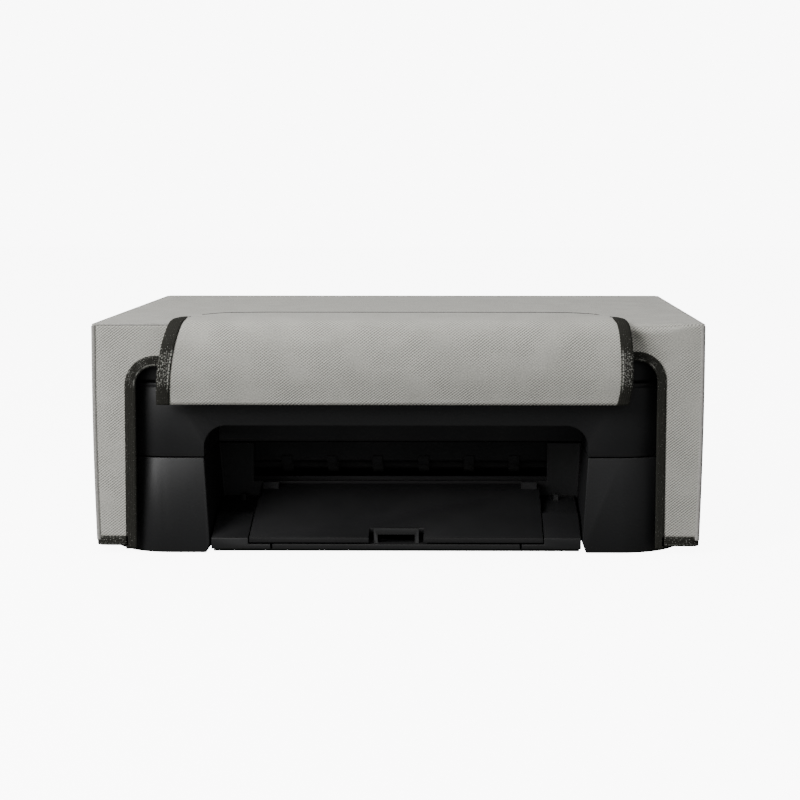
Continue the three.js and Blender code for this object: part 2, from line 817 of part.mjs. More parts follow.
const trayRear = frontY + trayLength;
const outputTray = () => {
  const plate = prismX(
    polygon([
      [frontY, trayFrontTop - trayThickness],
      [frontY, trayFrontTop],
      [trayRear, trayRearTop],
      [trayRear, trayRearTop - trayThickness],
    ]),
    -trayHalf,
    trayHalf,
  );
  const skirtFoot = trayFrontTop - trayThickness;
  const skirt = polygon([
    [frontY + 8, skirtFoot],
    [trayRear, trayRearTop - 2],
    [trayRear, skirtFoot],
  ]);
  const stops = [-1, 1].map((side) => {
    const x = [side * (trayHalf - 2), side * (trayHalf - 14)].sort((a, b) => a - b);
    return block(x[0], x[1], trayRear - 8, trayRear - 4, trayRearTop - 5, trayRearTop + 2.5);
  });
  return cut(
    union(
      plate,
      prismX(skirt, -trayHalf, -trayHalf + wall),
      prismX(skirt, trayHalf - wall, trayHalf),
      ...stops,
    ),
    block(-notchHalf, notchHalf, frontY - 1, frontY + notchDepth, 0, trayRearTop),
  );
};
add("output_tray", outputTray(), blackPlastic);

const trayExtension = () => {
  const gripFront = frontY + 5;
  const gripBack = gripFront + 5;
  return union(
    block(
      -extensionHalf,
      extensionHalf,
      frontY,
      frontY + extensionLength,
      lipBottom,
      extensionTop,
    ),
    block(-gripHalf, gripHalf, gripFront, gripBack, 13, 17.6),
    block(-gripHalf, -gripHalf + 3, gripFront, gripBack, extensionTop - 1, 14),
    block(gripHalf - 3, gripHalf, gripFront, gripBack, extensionTop - 1, 14),
  );
};
add("tray_extension", trayExtension(), blackPlastic);

const trayApron = () => {
  const inner = trayHalf + 0.8;
  const outer = openingFootHalf - 0.9;
  const stepY = frontY + wingStepAt;
  const wingTop = [
    [frontY, lipTop],
    [stepY, wingStepTop],
    [stepY, wingStepTop - wingStepDrop],
    [exitY - 1, wingRearTop],
  ];
  const wing = polygon([
    [frontY, lipBottom],
    ...wingTop,
    [exitY - 1, wingRearTop - wall],
    [stepY + 1, wingStepTop - wingStepDrop - wall],
    [frontY + wall, lipTop - wall],
    [frontY + wall, lipBottom],
  ]);
  const parts = [];
  for (const side of [-1, 1]) {
    const x = [side * inner, side * outer].sort((a, b) => a - b);
    const toe = [side * (extensionHalf + 1.4), side * (inner + 1)].sort((a, b) => a - b);
    const peg = [side * (inner + 10), side * (inner + 14)].sort((a, b) => a - b);
    const strut = [side * (inner + 2), side * (outer - 2)].sort((a, b) => a - b);
    parts.push(prismX(wing, x[0], x[1]));
    parts.push(block(toe[0], toe[1], frontY, frontY + 4, lipBottom, extensionTop));
    parts.push(block(peg[0], peg[1], exitY - 12, exitY - 7, wingRearTop - 3, wingRearTop + 3));
    parts.push(block(strut[0], strut[1], exitY - 6, exitY - 2, lipBottom, wingRearTop - 1));
  }
  // shallow pan under the tray, standing clear of its extension
  const panTop = lipBottom - gap;
  parts.push(block(-outer + 1, outer - 1, frontY + 6, exitY - 1, footHeight, panTop));
  parts.push(block(-outer + 1, outer - 1, exitY - 6, exitY - 1, footHeight, extensionTop));
  return union(...parts);
};
add("tray_apron", trayApron(), blackPlastic);

// ---------------------------------------------------------------- scanner unit: middle shell, bed, bezel, glass

const archOutline = (grow) => {
  const x = openingHalf + grow;
  const top = openingTop + grow;
  const r = openingCorner + grow;
  const shape = new THREE.Shape();
  shape.moveTo(-x, baseTop - 2);
  shape.lineTo(x, baseTop - 2);
  shape.lineTo(x, top - r);
  shape.absarc(x - r, top - r, r, 0, Math.PI / 2, false);
  shape.lineTo(-x + r, top);
  shape.absarc(-x + r, top - r, r, Math.PI / 2, Math.PI, false);
  return shape;
};

const rimGroove = () => {
  const low = shellTop - grooveDrop - grooveWidth / 2;
  return cut(
    prismZ(casing(-1, unitRear), low, low + grooveWidth),
    prismZ(casing(grooveDepth, unitRear), low - 1, low + grooveWidth + 1),
  );
};

const middleShell = () => {
  const bottom = baseTop + seam;
  const ledge = 12;
  const skin = cut(
    prismZ(casing(0, unitRear), bottom, shellTop),
    prismZ(casing(wall, unitRear), bottom - 1, shellTop - wall),
    prismZ(casing(ledge, unitRear), bottom - 1, shellTop + 1),
    block(-half + wall, half - wall, unitRear - 14, unitRear + 1, bottom - 1, shellTop + 1),
    rimGroove(),
  );
  const rim = cut(
    prismY(archOutline(wall), frontY + 1, exitY + wall),
    block(-half, half, frontY - 5, exitY + wall + 1, 0, bottom),
  );
  return cut(union(skin, rim), prismY(archOutline(0), frontY - 5, exitY));
};
add("middle_shell", middleShell(), blackPlastic);

const bedFloor = shellTop + gap;
const scannerBed = () => {
  const neckInset = 4;
  const bedBottom = shellTop + neckHeight;
  const bed = cut(
    union(
      prismZ(casing(0, unitRear), bedBottom, bedTop),
      prismZ(casing(neckInset, unitRear), bedFloor, bedBottom + 1),
    ),
    prismZ(casing(neckInset + wall, unitRear), bedFloor + wall, bedTop + 1),
  );
  const lugs = [];
  const notches = [];
  for (const side of [-1, 1]) {
    const { moving, fixed } = lugSpans(side);
    lugs.push(rodX(moving[0], moving[1], unitAxis.y, unitAxis.z, unitLug.radius));
    const arm = [Math.min(...moving), Math.max(...moving)];
    lugs.push(block(arm[0], arm[1], unitRear - 4, unitAxis.y, unitAxis.z - 4.5, unitAxis.z + 4.5));
    for (const [x0, x1] of fixed) {
      notches.push(rodX(x0 - 0.5, x1 + 0.5, unitAxis.y, unitAxis.z, unitLug.radius + 0.6));
    }
  }
  const pinHole = rodX(-half - 1, half + 1, unitAxis.y, unitAxis.z, pinRadius + running);
  return cut(union(cut(bed, ...notches), ...lugs), pinHole);
};
add("scanner_bed", scannerBed(), blackPlastic);

const rodEnd = unitLug.inner + unitLug.width + 12;
add(
  "hinge_rod",
  rodX(-rodEnd, rodEnd, unitAxis.y, unitAxis.z, pinRadius, 12),
  steel,
);

const controlWidth = 64; // control panel strip at the left of the lid
const controlRight = -half + controlWidth;
const glassWidth = 304;
const glassDepth = 220;
const glassInset = 21; // from the casing's right side
const glassX = [half - glassInset - glassWidth, half - glassInset];
const glassY = [frontY + 20, frontY + 20 + glassDepth];
const windowRim = 4;
const windowAt = [
  glassX[0] + windowRim,
  glassX[1] - windowRim,
  glassY[0] + windowRim,
  glassY[1] - windowRim,
];

add(
  "scanner_bezel",
  cut(
    prismZ(casing(0.4, unitRear), bedTop + gap, bezelTop),
    block(...windowAt, bedTop - 1, bezelTop + 1),
  ),
  blackPlastic,
);
const glassThickness = 2.8;
const glassTop = bedTop;
const glassRest = block(
  ...[glassX[0], glassX[1], glassY[0], glassY[1]],
  glassTop - glassThickness,
  glassTop,
);
add("scanner_glass", glassRest, clearGlass);

const headWidth = 18;
const headTop = glassTop - glassThickness - 0.8;
add(
  "scan_head",
  union(
    block(glassX[0] + 4, glassX[0] + 4 + headWidth, glassY[0], glassY[1], headTop - 9, headTop),
    block(
      glassX[0] - 2,
      glassX[0] + 10 + headWidth,
      (glassY[0] + glassY[1]) / 2 - 14,
      (glassY[0] + glassY[1]) / 2 + 14,
      bedFloor + wall,
      headTop - 3,
    ),
  ),
  innerPlastic,
);

// ---------------------------------------------------------------- control panel and buttons

const controlTop = lidTop - 4;
const buttonRadius = 6;
const buttonX = (-half + controlRight) / 2;
const buttonPlaces = {
  power_button: frontY + 52,
  wireless_button: frontY + 84,
  copy_button: frontY + 150,
  stop_button: frontY + 182,
};

const controlPanel = () => {
  const outer = plan(-half, controlRight - gap, frontY, unitRear - 2, frontCorner, 3, 6);
  const inner = plan(
    -half + wall,
    controlRight - gap - wall,
    frontY + wall,
    unitRear - 2 - wall,
    frontCorner - wall,
    1,
    3,
  );
  const holes = Object.values(buttonPlaces).map((y) =>
    rodZ(buttonX, y, controlTop - 5, controlTop + 1, buttonRadius + 0.4, 16),
  );
  const screen = block(buttonX - 17, buttonX + 17, frontY + 104, frontY + 130, controlTop - 1, controlTop + 1);
  return cut(
    prismZ(outer, bezelTop + gap, controlTop),
    prismZ(inner, bezelTop - 1, controlTop - wall),
    ...holes,
    screen,
  );
};
add("control_panel", controlPanel(), blackPlastic);

for (const [name, y] of Object.entries(buttonPlaces)) {
  add(
    name,
    union(
      rodZ(buttonX, y, controlTop - 7, controlTop + 1, buttonRadius, 16),
      rodZ(buttonX, y, controlTop - 9, controlTop - 6, buttonRadius + 2, 16),
    ),
    whitePlastic,
  );
}

// ---------------------------------------------------------------- scanner lid

const lidLeft = controlRight + 1;
const lidAxis = { y: unitRear - 10, z: lidBottom + lidThickness / 2 };
const barrel = lidThickness / 2;
const hingePinRadius = 2.5;
const hingeTabs = [[lidLeft + 40, lidLeft + 52], [half - 60, half - 48]];

const lidShell = () => {
  const outer = plan(lidLeft, half, frontY, lidAxis.y, 3, frontCorner, 0.5);
  const inner = plan(
    lidLeft + wall,
    half - wall,
    frontY + wall,
    lidAxis.y - barrel,
    1,
    frontCorner - wall,
    0.5,
  );
  const shell = cut(
    prismZ(outer, lidBottom, lidTop),
    prismZ(inner, lidBottom - 1, lidTop - wall),
  );
  const rounded = rodX(lidLeft, half, lidAxis.y, lidAxis.z, barrel, 20);
  const tabRoom = hingeTabs.map(([a, b]) =>
    block(a - 0.6, b + 0.6, lidAxis.y - 13, lidAxis.y + 12, lidBottom - 1, lidTop - wall),
  );
  const bores = hingeTabs.map(([a, b]) =>
    rodX(a - 7, b + 7, lidAxis.y, lidAxis.z, hingePinRadius + running),
  );
  return cut(union(shell, rounded), ...tabRoom, ...bores);
};
add("lid_shell", lidShell(), blackPlastic);

const padRise = lidTop - wall - 1;
add(
  "lid_backing_pad",
  block(
    glassX[0] + 1,
    glassX[1] - 1,
    glassY[0] + 1,
    Math.min(glassY[1] - 1, lidAxis.y - 14),
    lidBottom - 0.5,
    padRise,
  ),
  whitePlastic,
);

const hingeBar = () => {
  const parts = [];
  for (const [a, b] of hingeTabs) {
    parts.push(rodX(a, b, lidAxis.y, lidAxis.z, barrel - wall - 1));
    parts.push(block(a, b, lidAxis.y - 4, lidAxis.y + 4, bezelTop + gap, lidAxis.z));
    parts.push(rodX(a - 5, b + 5, lidAxis.y, lidAxis.z, hingePinRadius));
  }
  const strip = block(
    hingeTabs[0][0],
    hingeTabs[1][1],
    lidAxis.y - 4,
    lidAxis.y + 4,
    bezelTop + gap,
    bezelTop + gap + 0.5,
  );
  return union(strip, ...parts);
};
add("lid_hinge_bar", hingeBar(), innerPlastic);

// ---------------------------------------------------------------- fabric dust cover

const panelFoot = hemBottom + hemHeight + gap;
const panelTop = coverTop - fabric - gap;

const sew = (name, solid, material) => add(name, solid, material, dustCover);
sew("cover_top", block(-coverHalf, coverHalf, coverFront, coverBack, coverTop - fabric, coverTop), greyFabric);
sew("cover_left", block(-coverHalf, -coverHalf + fabric, coverFront, coverBack, panelFoot, panelTop), greyFabric);
sew("cover_right", block(coverHalf - fabric, coverHalf, coverFront, coverBack, panelFoot, panelTop), greyFabric);
const betweenSides = coverHalf - fabric - gap;
sew(
  "cover_back",
  block(-betweenSides, betweenSides, coverBack - fabric, coverBack, panelFoot, panelTop),
  greyFabric,
);

const cutoutOutline = (inset, bottom) => {
  const x = cutoutHalf - inset;
  const top = cutoutTop - inset;
  const r = cutoutCorner - inset;
  const left = printerShift - x;
  const right = printerShift + x;
  const shape = new THREE.Shape();
  shape.moveTo(left, bottom);
  shape.lineTo(right, bottom);
  shape.lineTo(right, top - r);
  shape.absarc(right - r, top - r, r, 0, Math.PI / 2, false);
  shape.lineTo(left + r, top);
  shape.absarc(left + r, top - r, r, Math.PI / 2, Math.PI, false);
  return shape;
};
sew(
  "cover_front",
  cut(
    block(-betweenSides, betweenSides, coverFront, coverFront + fabric, panelFoot, panelTop),
    prismY(cutoutOutline(-gap, 0), coverFront - 1, coverFront + fabric + 1),
  ),
  greyFabric,
);
const tapeOver = 0.4; // the tape is a little thicker than the cloth that it wraps
sew(
  "front_binding",
  cut(
    prismY(cutoutOutline(0, panelFoot), coverFront - tapeOver, coverFront + fabric + tapeOver),
    prismY(cutoutOutline(bindingWidth, 0), coverFront - 2, coverFront + fabric + 2),
  ),
  bindingTape,
);
sew(
  "hem_binding",
  cut(
    block(-coverHalf, coverHalf, coverFront, coverBack, hemBottom, hemBottom + hemHeight),
    block(
      -coverHalf + fabric + tapeOver,
      coverHalf - fabric - tapeOver,
      coverFront + fabric + tapeOver,
      coverBack - fabric - tapeOver,
      0,
      panelFoot,
    ),
    prismY(cutoutOutline(bindingWidth, 0), coverFront - 2, coverFront + 5),
  ),
  bindingTape,
);

// The flap is sewn along the cover's top and hangs over its front edge in one curve.
const flapCurve = new THREE.SplineCurve(
  [
    [69, 1.5],
    [53, 3.1],
    [37, 4.4],
    [21, 4.2],
    [7, 3.3],
    [-4, 0.2],
    [-10, -9],
    [-12.6, -22],
    [-12.6, -38],
    [-9, -57.2],
  ].map(([y, z]) => new THREE.Vector2(coverFront + y, coverTop + z)),
);
const flapOutline = () => {
  const steps = 16;
  const line = flapCurve.getSpacedPoints(steps);
  const sides = [[], []];
  line.forEach((point, i) => {
    const tangent = flapCurve.getTangentAt(i / steps);
    for (const [k, side] of [[0, 1], [1, -1]]) {
      const reach = (side * flapThickness) / 2;
      sides[k].push([point.x - tangent.y * reach, point.y + tangent.x * reach]);
    }
  });
  return polygon([...sides[0], ...sides[1].reverse()]);
};
sew("flap", prismX(flapOutline(), -flapHalf, flapHalf), greyFabric);

export default coveredPrinter;
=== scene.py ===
# %% [markdown]
# An office printer under its cloth dust cover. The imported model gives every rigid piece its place;
# this script makes the sewn cover as cloth, rounds the moulded casings and gives each piece a
# finish that is worked out by nodes. Lengths are metres, +X is right, -Y is the front, +Z is up.

import json
import math

import bmesh
import bpy
import numpy as np
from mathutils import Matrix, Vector, noise

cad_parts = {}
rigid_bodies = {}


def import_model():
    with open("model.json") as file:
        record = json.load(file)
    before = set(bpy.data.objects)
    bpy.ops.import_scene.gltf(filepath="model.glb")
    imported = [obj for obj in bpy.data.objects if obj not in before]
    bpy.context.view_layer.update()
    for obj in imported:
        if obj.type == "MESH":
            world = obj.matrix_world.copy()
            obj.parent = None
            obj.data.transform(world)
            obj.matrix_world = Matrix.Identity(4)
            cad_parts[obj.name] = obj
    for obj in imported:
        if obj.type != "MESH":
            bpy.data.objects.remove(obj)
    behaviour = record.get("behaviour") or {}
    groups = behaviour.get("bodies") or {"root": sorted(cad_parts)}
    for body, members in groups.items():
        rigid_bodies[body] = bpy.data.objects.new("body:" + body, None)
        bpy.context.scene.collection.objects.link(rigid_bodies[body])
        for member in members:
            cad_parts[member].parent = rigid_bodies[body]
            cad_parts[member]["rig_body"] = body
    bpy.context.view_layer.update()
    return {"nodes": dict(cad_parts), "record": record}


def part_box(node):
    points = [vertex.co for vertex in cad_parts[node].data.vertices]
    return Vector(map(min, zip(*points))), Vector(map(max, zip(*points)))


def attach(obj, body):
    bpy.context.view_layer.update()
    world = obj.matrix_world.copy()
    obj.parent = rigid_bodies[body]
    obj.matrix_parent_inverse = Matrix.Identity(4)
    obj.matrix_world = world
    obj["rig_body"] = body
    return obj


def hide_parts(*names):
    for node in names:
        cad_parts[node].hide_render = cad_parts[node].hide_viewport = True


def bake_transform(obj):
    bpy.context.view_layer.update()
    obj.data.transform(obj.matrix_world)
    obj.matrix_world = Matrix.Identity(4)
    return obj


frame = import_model()
nodes = frame["nodes"]
mm = 0.001
link = bpy.context.scene.collection.objects.link

# %% [markdown]
# A product shot is taken with a long lens from a little above the object. The lens stands a bit to
# the right of the object's middle, and the picture is shifted to put the object back in its middle,
# so its left and right edges are seen as they are.

# %% Camera
SENSOR = 36 * mm
FOCAL = 78.1 * mm
SIDE_SHIFT = -0.069
LENS_PLACE = (0.052, -1.395, 0.268)
DOWNWARD = math.radians(7.11)
TURNED = math.radians(0.5)
camera_data = bpy.data.cameras.new("studio_camera")
camera_data.sensor_width = SENSOR / mm
camera_data.lens = FOCAL / mm
camera_data.shift_x = SIDE_SHIFT
camera = bpy.data.objects.new("studio_camera", camera_data)
camera.location = LENS_PLACE
camera.rotation_euler = (math.pi / 2 - DOWNWARD, 0, TURNED)
link(camera)
bpy.context.scene.camera = camera
print("camera:", round(camera.location.length, 3), "m from the origin")

# %% [markdown]
# The floor of a white studio is a sheet of paper that runs out of the picture on every side, so no
# edge of it is ever seen. One large face is enough.

# %% Floor sheet
FLOOR_HALF = 6
floor_mesh = bpy.data.meshes.new("floor")
bm = bmesh.new()
bmesh.ops.create_grid(bm, x_segments=1, y_segments=1, size=FLOOR_HALF)
bm.to_mesh(floor_mesh)
bm.free()
floor = bpy.data.objects.new("floor", floor_mesh)
link(floor)
print("floor:", 2 * FLOOR_HALF, "m wide")

# %% [markdown]
# A plain white floor would throw so much light up that black plastic turns grey, so the paper has
# two shaders: the camera sees it bright, and every other ray meets a dim one. Light Path tells the
# rays apart.

# %% Floor paper
FLOOR_WHITE = (0.93, 0.93, 0.93, 1)
FLOOR_BOUNCE = (0.22, 0.22, 0.22, 1)
FLOOR_GLOW = 8.5
floor_paint = bpy.data.materials.new("floor_paper")
floor_paint.use_nodes = True
tree = floor_paint.node_tree
tree.nodes.clear()
paper = tree.nodes.new("ShaderNodeBsdfDiffuse")
paper.inputs["Color"].default_value = FLOOR_WHITE
glow = tree.nodes.new("ShaderNodeEmission")
glow.inputs["Strength"].default_value = FLOOR_GLOW
bright = tree.nodes.new("ShaderNodeAddShader")
dim = tree.nodes.new("ShaderNodeBsdfDiffuse")
dim.inputs["Color"].default_value = FLOOR_BOUNCE
seen = tree.nodes.new("ShaderNodeLightPath")
choose = tree.nodes.new("ShaderNodeMixShader")
out = tree.nodes.new("ShaderNodeOutputMaterial")
tree.links.new(paper.outputs[0], bright.inputs[0])
tree.links.new(glow.outputs[0], bright.inputs[1])
tree.links.new(seen.outputs["Is Camera Ray"], choose.inputs[0])
tree.links.new(dim.outputs[0], choose.inputs[1])
tree.links.new(bright.outputs[0], choose.inputs[2])
tree.links.new(choose.outputs[0], out.inputs["Surface"])
floor_mesh.materials.append(floor_paint)
print("floor paper glows at", FLOOR_GLOW)

# %% [markdown]
# The surround is an even white that lights the object from all sides. It is dimmer as a light than
# it looks, as with a bright backdrop far behind a dark object, for the same reason as the floor.

# %% Surround
world = bpy.data.worlds.new("studio")
bpy.context.scene.world = world
world.use_nodes = True
tree = world.node_tree
background = tree.nodes["Background"]
background.inputs["Color"].default_value = (1, 1, 1, 1)
seen = tree.nodes.new("ShaderNodeLightPath")
strength = tree.nodes.new("ShaderNodeMapRange")
LIGHTING_LEVEL = 0.29
SEEN_LEVEL = 9.0
strength.inputs["To Min"].default_value = LIGHTING_LEVEL
strength.inputs["To Max"].default_value = SEEN_LEVEL
tree.links.new(seen.outputs["Is Camera Ray"], strength.inputs["Value"])
tree.links.new(strength.outputs["Result"], background.inputs["Strength"])
print("surround: lights at", LIGHTING_LEVEL, "and looks like", SEEN_LEVEL)

# %% [markdown]
# One large soft box stands high at the left and gives the cloth its slope of light from left to
# right. A wider one hangs overhead, and a small weak one near the front left fills the shadows.
# Area lamps are used because their size makes the shadow's edge soft, as a real soft box does.

# %% Lights
def soft_box(name, place, target, width, height, watts):
    """A rectangular lamp at a place, aimed at a target."""
    data = bpy.data.lights.new(name, "AREA")
    data.shape = "RECTANGLE"
    data.size = width
    data.size_y = height
    data.energy = watts
    light = bpy.data.objects.new(name, data)
    light.location = place
    aim = Vector(target) - Vector(place)
    light.rotation_euler = aim.to_track_quat("-Z", "Y").to_euler()
    link(light)
    return light


key = soft_box("key_box", (-1.2, -1.2, 1.05), (0, -0.1, 0.08), 0.9, 0.9, 36)
top = soft_box("top_box", (-0.1, -0.5, 2.2), (0, 0, 0.1), 2.0, 1.6, 23)
fill = soft_box("fill_box", (-0.62, -1.15, 0.5), (-0.24, -0.14, 0.11), 0.35, 0.35, 0.7)
print("lights:", key.name, top.name, fill.name)

# %% [markdown]
# Cloth here is never a solid block. Each panel starts as a flat grid, and a short function says
# where each point of the grid goes: its place on the cover plus the small sag and ripple that a
# sewn panel has. The flat position of each point is kept as its UV, so the weave follows the cloth.

# %% Cloth helpers
RIPPLE = 0.7 * mm
RIPPLE_SIZE = 110 * mm
FINE_SIZE = 0.3 * RIPPLE_SIZE
FINE_HEIGHT = 0.35  # as a share of the slow ripple's height


def crowded(share, pull=0.13):
    """Puts more of a grid's lines near both of its ends, where the cloth turns a corner."""
    return share - pull * math.sin(2 * math.pi * share)


def ripple(point, height=RIPPLE):
    """A slow uneven rise and fall of the cloth."""
    slow = noise.noise(Vector(point) / RIPPLE_SIZE)
    fine = noise.noise(Vector(point) / FINE_SIZE + Vector((7, 3, 1)))
    return height * (slow + FINE_HEIGHT * fine)


def smooth(low, high, value):
    """Eases from 0 at low to 1 at high."""
    share = min(max((value - low) / (high - low), 0), 1)
    return share * share * (3 - 2 * share)


def link_mesh(name, bm):
    """Makes a bmesh an object of the scene."""
    mesh = bpy.data.meshes.new(name)
    bm.to_mesh(mesh)
    bm.free()
    piece = bpy.data.objects.new(name, mesh)
    link(piece)
    return piece


def cloth(name, columns, rows, place, outward, thickness, centred=False):
    """A sheet from a grid: place(u, v) gives a point and its flat position."""
    bm = bmesh.new()
    bmesh.ops.create_grid(bm, x_segments=columns, y_segments=rows, size=0.5)
    flat_layer = bm.loops.layers.uv.new("cloth")
    placed = {v: place(v.co.x + 0.5, v.co.y + 0.5) for v in bm.verts}
    for face in bm.faces:
        for loop in face.loops:
            loop[flat_layer].uv = placed[loop.vert][1]
    for v in bm.verts:
        v.co = placed[v][0]
    bm.normal_update()
    if sum(face.normal.dot(outward(face.calc_center_median())) for face in bm.faces) < 0:
        bmesh.ops.reverse_faces(bm, faces=bm.faces)
    for face in bm.faces:
        face.smooth = True
    area = sum(face.calc_area() for face in bm.faces)
    piece = link_mesh(name, bm)
    wall = piece.modifiers.new("thickness", "SOLIDIFY")
    wall.thickness = thickness
    wall.offset = 0 if centred else -1
    wall.use_even_offset = True
    print(name, "has", columns * rows, "cells and", round(area, 4), "square metres")
    return piece, area


def away(direction):
    return lambda centre: Vector(direction)


panels = {}

# %% [markdown]
# The cover is a box of five sewn panels. Where two panels meet, each one turns through half of the
# corner, so that the seam lies on the edge. The right end of the front seam is softer than the
# left, because the cloth there has no stiff seam roll behind it. The bottom is drawn in a little.

# %% Cover sizes, from the frame
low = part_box("hem_binding")[0]
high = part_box("cover_top")[1]
PROUD = 0.7 * mm  # how far the cloth stands out from its rigid stand-in at the sides
HALF_WIDTH = high.x + PROUD
FRONT = low.y
BACK = high.y
TOP = high.z
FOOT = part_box("cover_left")[0].z
CLOTH = high.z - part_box("cover_top")[0].z
TURN = 2.4 * mm  # radius of the cover's turned edges
SOFT_TURN = 5.4 * mm  # what the slack right end of the front seam adds to it
DRAWN_IN = {-1: 0.5 * mm, 1: 2.2 * mm}
SIDE_SWELL = 0.9 * mm
TOP_SAG = 0.7 * mm
TOP_RIPPLE = 0.5 * mm
MIDDLE_Y = (FRONT + BACK) / 2
print("cover:", round(2 * HALF_WIDTH, 3), "by", round(BACK - FRONT, 3), "by", round(TOP, 3))


def half_turn(distance, radius):
    """How far a panel has turned away from its plane, at a distance from the box's edge."""
    if distance >= radius:
        return 0
    return radius - math.sqrt(max(radius**2 - (radius - distance) ** 2, 0))


EDGE = 1 - math.sqrt(0.5)  # where a half turned panel ends, as a share of the turn's radius


def front_turn(x):
    """The radius of the turn along the front seam."""
    return TURN + SOFT_TURN * smooth(0.03, 0.17, x) * (1 - smooth(0.19, 0.212, x))


def side_x(z, side):
    """How far the left (-1) or right (1) side stands from the middle at a height."""
    drawn = DRAWN_IN[-1 if side < 0 else 1]
    return HALF_WIDTH - drawn * (1 - z / TOP) + SIDE_SWELL * math.sin(math.pi * z / TOP)


# %% [markdown]
# The top is stretched over the scanner's lid, so it is nearly flat: it sags by less than a
# millimetre in the middle and rolls over the edges of the lid all round.

# %% Top panel
def top_panel(u, v):
    a, b = crowded(u), crowded(v)
    turn_front = front_turn((a - 0.5) * 2 * HALF_WIDTH)
    x = (a - 0.5) * 2 * (HALF_WIDTH - EDGE * TURN)
    y = FRONT + EDGE * turn_front + b * (BACK - FRONT - EDGE * (turn_front + TURN))
    drop = half_turn(HALF_WIDTH - abs(x), TURN)
    drop = max(drop, half_turn(y - FRONT, turn_front), half_turn(BACK - y, TURN))
    middle = math.sin(math.pi * a) * math.sin(math.pi * b)
    z = TOP - drop - TOP_SAG * middle + ripple((x, y, 0), TOP_RIPPLE) * middle
    return Vector((x, y, z)), (x, y)


panels["cover_top_cloth"] = cloth("cover_top_cloth", 90, 70, top_panel, away((0, 0, 1)), CLOTH)

# %% [markdown]
# The sides and the back hang from the top's edges. They touch nothing below, so they may ripple,
# and they swell a little at half height because the hem and the top hold them in.

# %% Side and back panels
def side_panel(side):
    def place(u, v):
        a, b = crowded(u), crowded(v)
        y = FRONT + EDGE * TURN + a * (BACK - FRONT - 2 * EDGE * TURN)
        z = FOOT + b * (TOP - FOOT - EDGE * TURN)
        drop = max(half_turn(y - FRONT, TURN), half_turn(BACK - y, TURN), half_turn(TOP - z, TURN))
        sag = ripple((side * 3, y, z)) * math.sin(math.pi * a)
        return Vector((side * (side_x(z, side) - drop + sag), y, z)), (y * side, z)

    return place


def back_panel(u, v):
    a, b = crowded(u), crowded(v)
    z = FOOT + b * (TOP - FOOT - EDGE * TURN)
    across = (a - 0.5) * 2
    width = side_x(z, across) - EDGE * TURN
    x = across * width
    drop = max(half_turn(width + EDGE * TURN - abs(x), TURN), half_turn(TOP - z, TURN))
    sag = ripple((x, 4, z)) * math.sin(math.pi * a)
    return Vector((x, BACK - drop + sag, z)), (-x, z)


for side, name in ((-1, "cover_left_cloth"), (1, "cover_right_cloth")):
    panels[name] = cloth(name, 70, 44, side_panel(side), away((side, 0, 0)), CLOTH)
panels["cover_back_cloth"] = cloth("cover_back_cloth", 90, 44, back_panel, away((0, 1, 0)), CLOTH)

# %% [markdown]
# The front panel is an arch round the opening that the printer's tray looks out of. A grid can be
# bent into an arch: its columns run along the arch and its rows run from the opening to the edge.
# A shallow crease runs from under the flap to the opening's right corner, where the cloth is slack.

# %% The opening's edge
binding_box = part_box("front_binding")
OPENING_HALF = (binding_box[1].x - binding_box[0].x) / 2
OPENING_SHIFT = (binding_box[1].x + binding_box[0].x) / 2
OPENING_TOP = binding_box[1].z
OPENING_TURN = 21.5 * mm
LEG_SPREAD = 1.9 * mm  # the left leg of the opening runs outwards to its foot
OPENING_TILT = 1.8 * mm  # how much higher its right end was sewn than its left, each way
ARC_SHARE = 0.11
LEG_SHARE = 0.27
BEND_X, BEND_Z = OPENING_HALF - OPENING_TURN, OPENING_TOP - OPENING_TURN


def along_arch(share, inset=0.0, foot=FOOT):
    """A point (x, z) of the opening's edge, moved in by inset; share 0 is the left foot."""
    mirrored = share > 0.5
    s = 1 - share if mirrored else share
    reach = OPENING_HALF - inset
    radius = OPENING_TURN - inset
    if s < LEG_SHARE:
        x, z = reach, foot + (BEND_Z - foot) * s / LEG_SHARE
    elif s < LEG_SHARE + ARC_SHARE:
        angle = (s - LEG_SHARE) / ARC_SHARE * math.pi / 2
        x, z = BEND_X + radius * math.cos(angle), BEND_Z + radius * math.sin(angle)
    else:
        x = BEND_X * (0.5 - s) / (0.5 - LEG_SHARE - ARC_SHARE)
        z = OPENING_TOP - inset
    x = x if mirrored else -x
    height = max(z, 0) / OPENING_TOP
    tilt = OPENING_TILT * x / OPENING_HALF * height
    spread = 0 if mirrored else LEG_SPREAD * (1 - height)
    return x + OPENING_SHIFT - spread, z + tilt


opening_foot, opening_head = along_arch(0), along_arch(0.5)
print("opening: foot and head", [round(c, 3) for c in (*opening_foot, *opening_head)])

# %% [markdown]
# Each point of the opening's edge needs a partner on the panel's outer edge. The partners are
# shared out so that the legs stay level with each other and the corner of the box gets its own
# point, or the corner would be cut off.

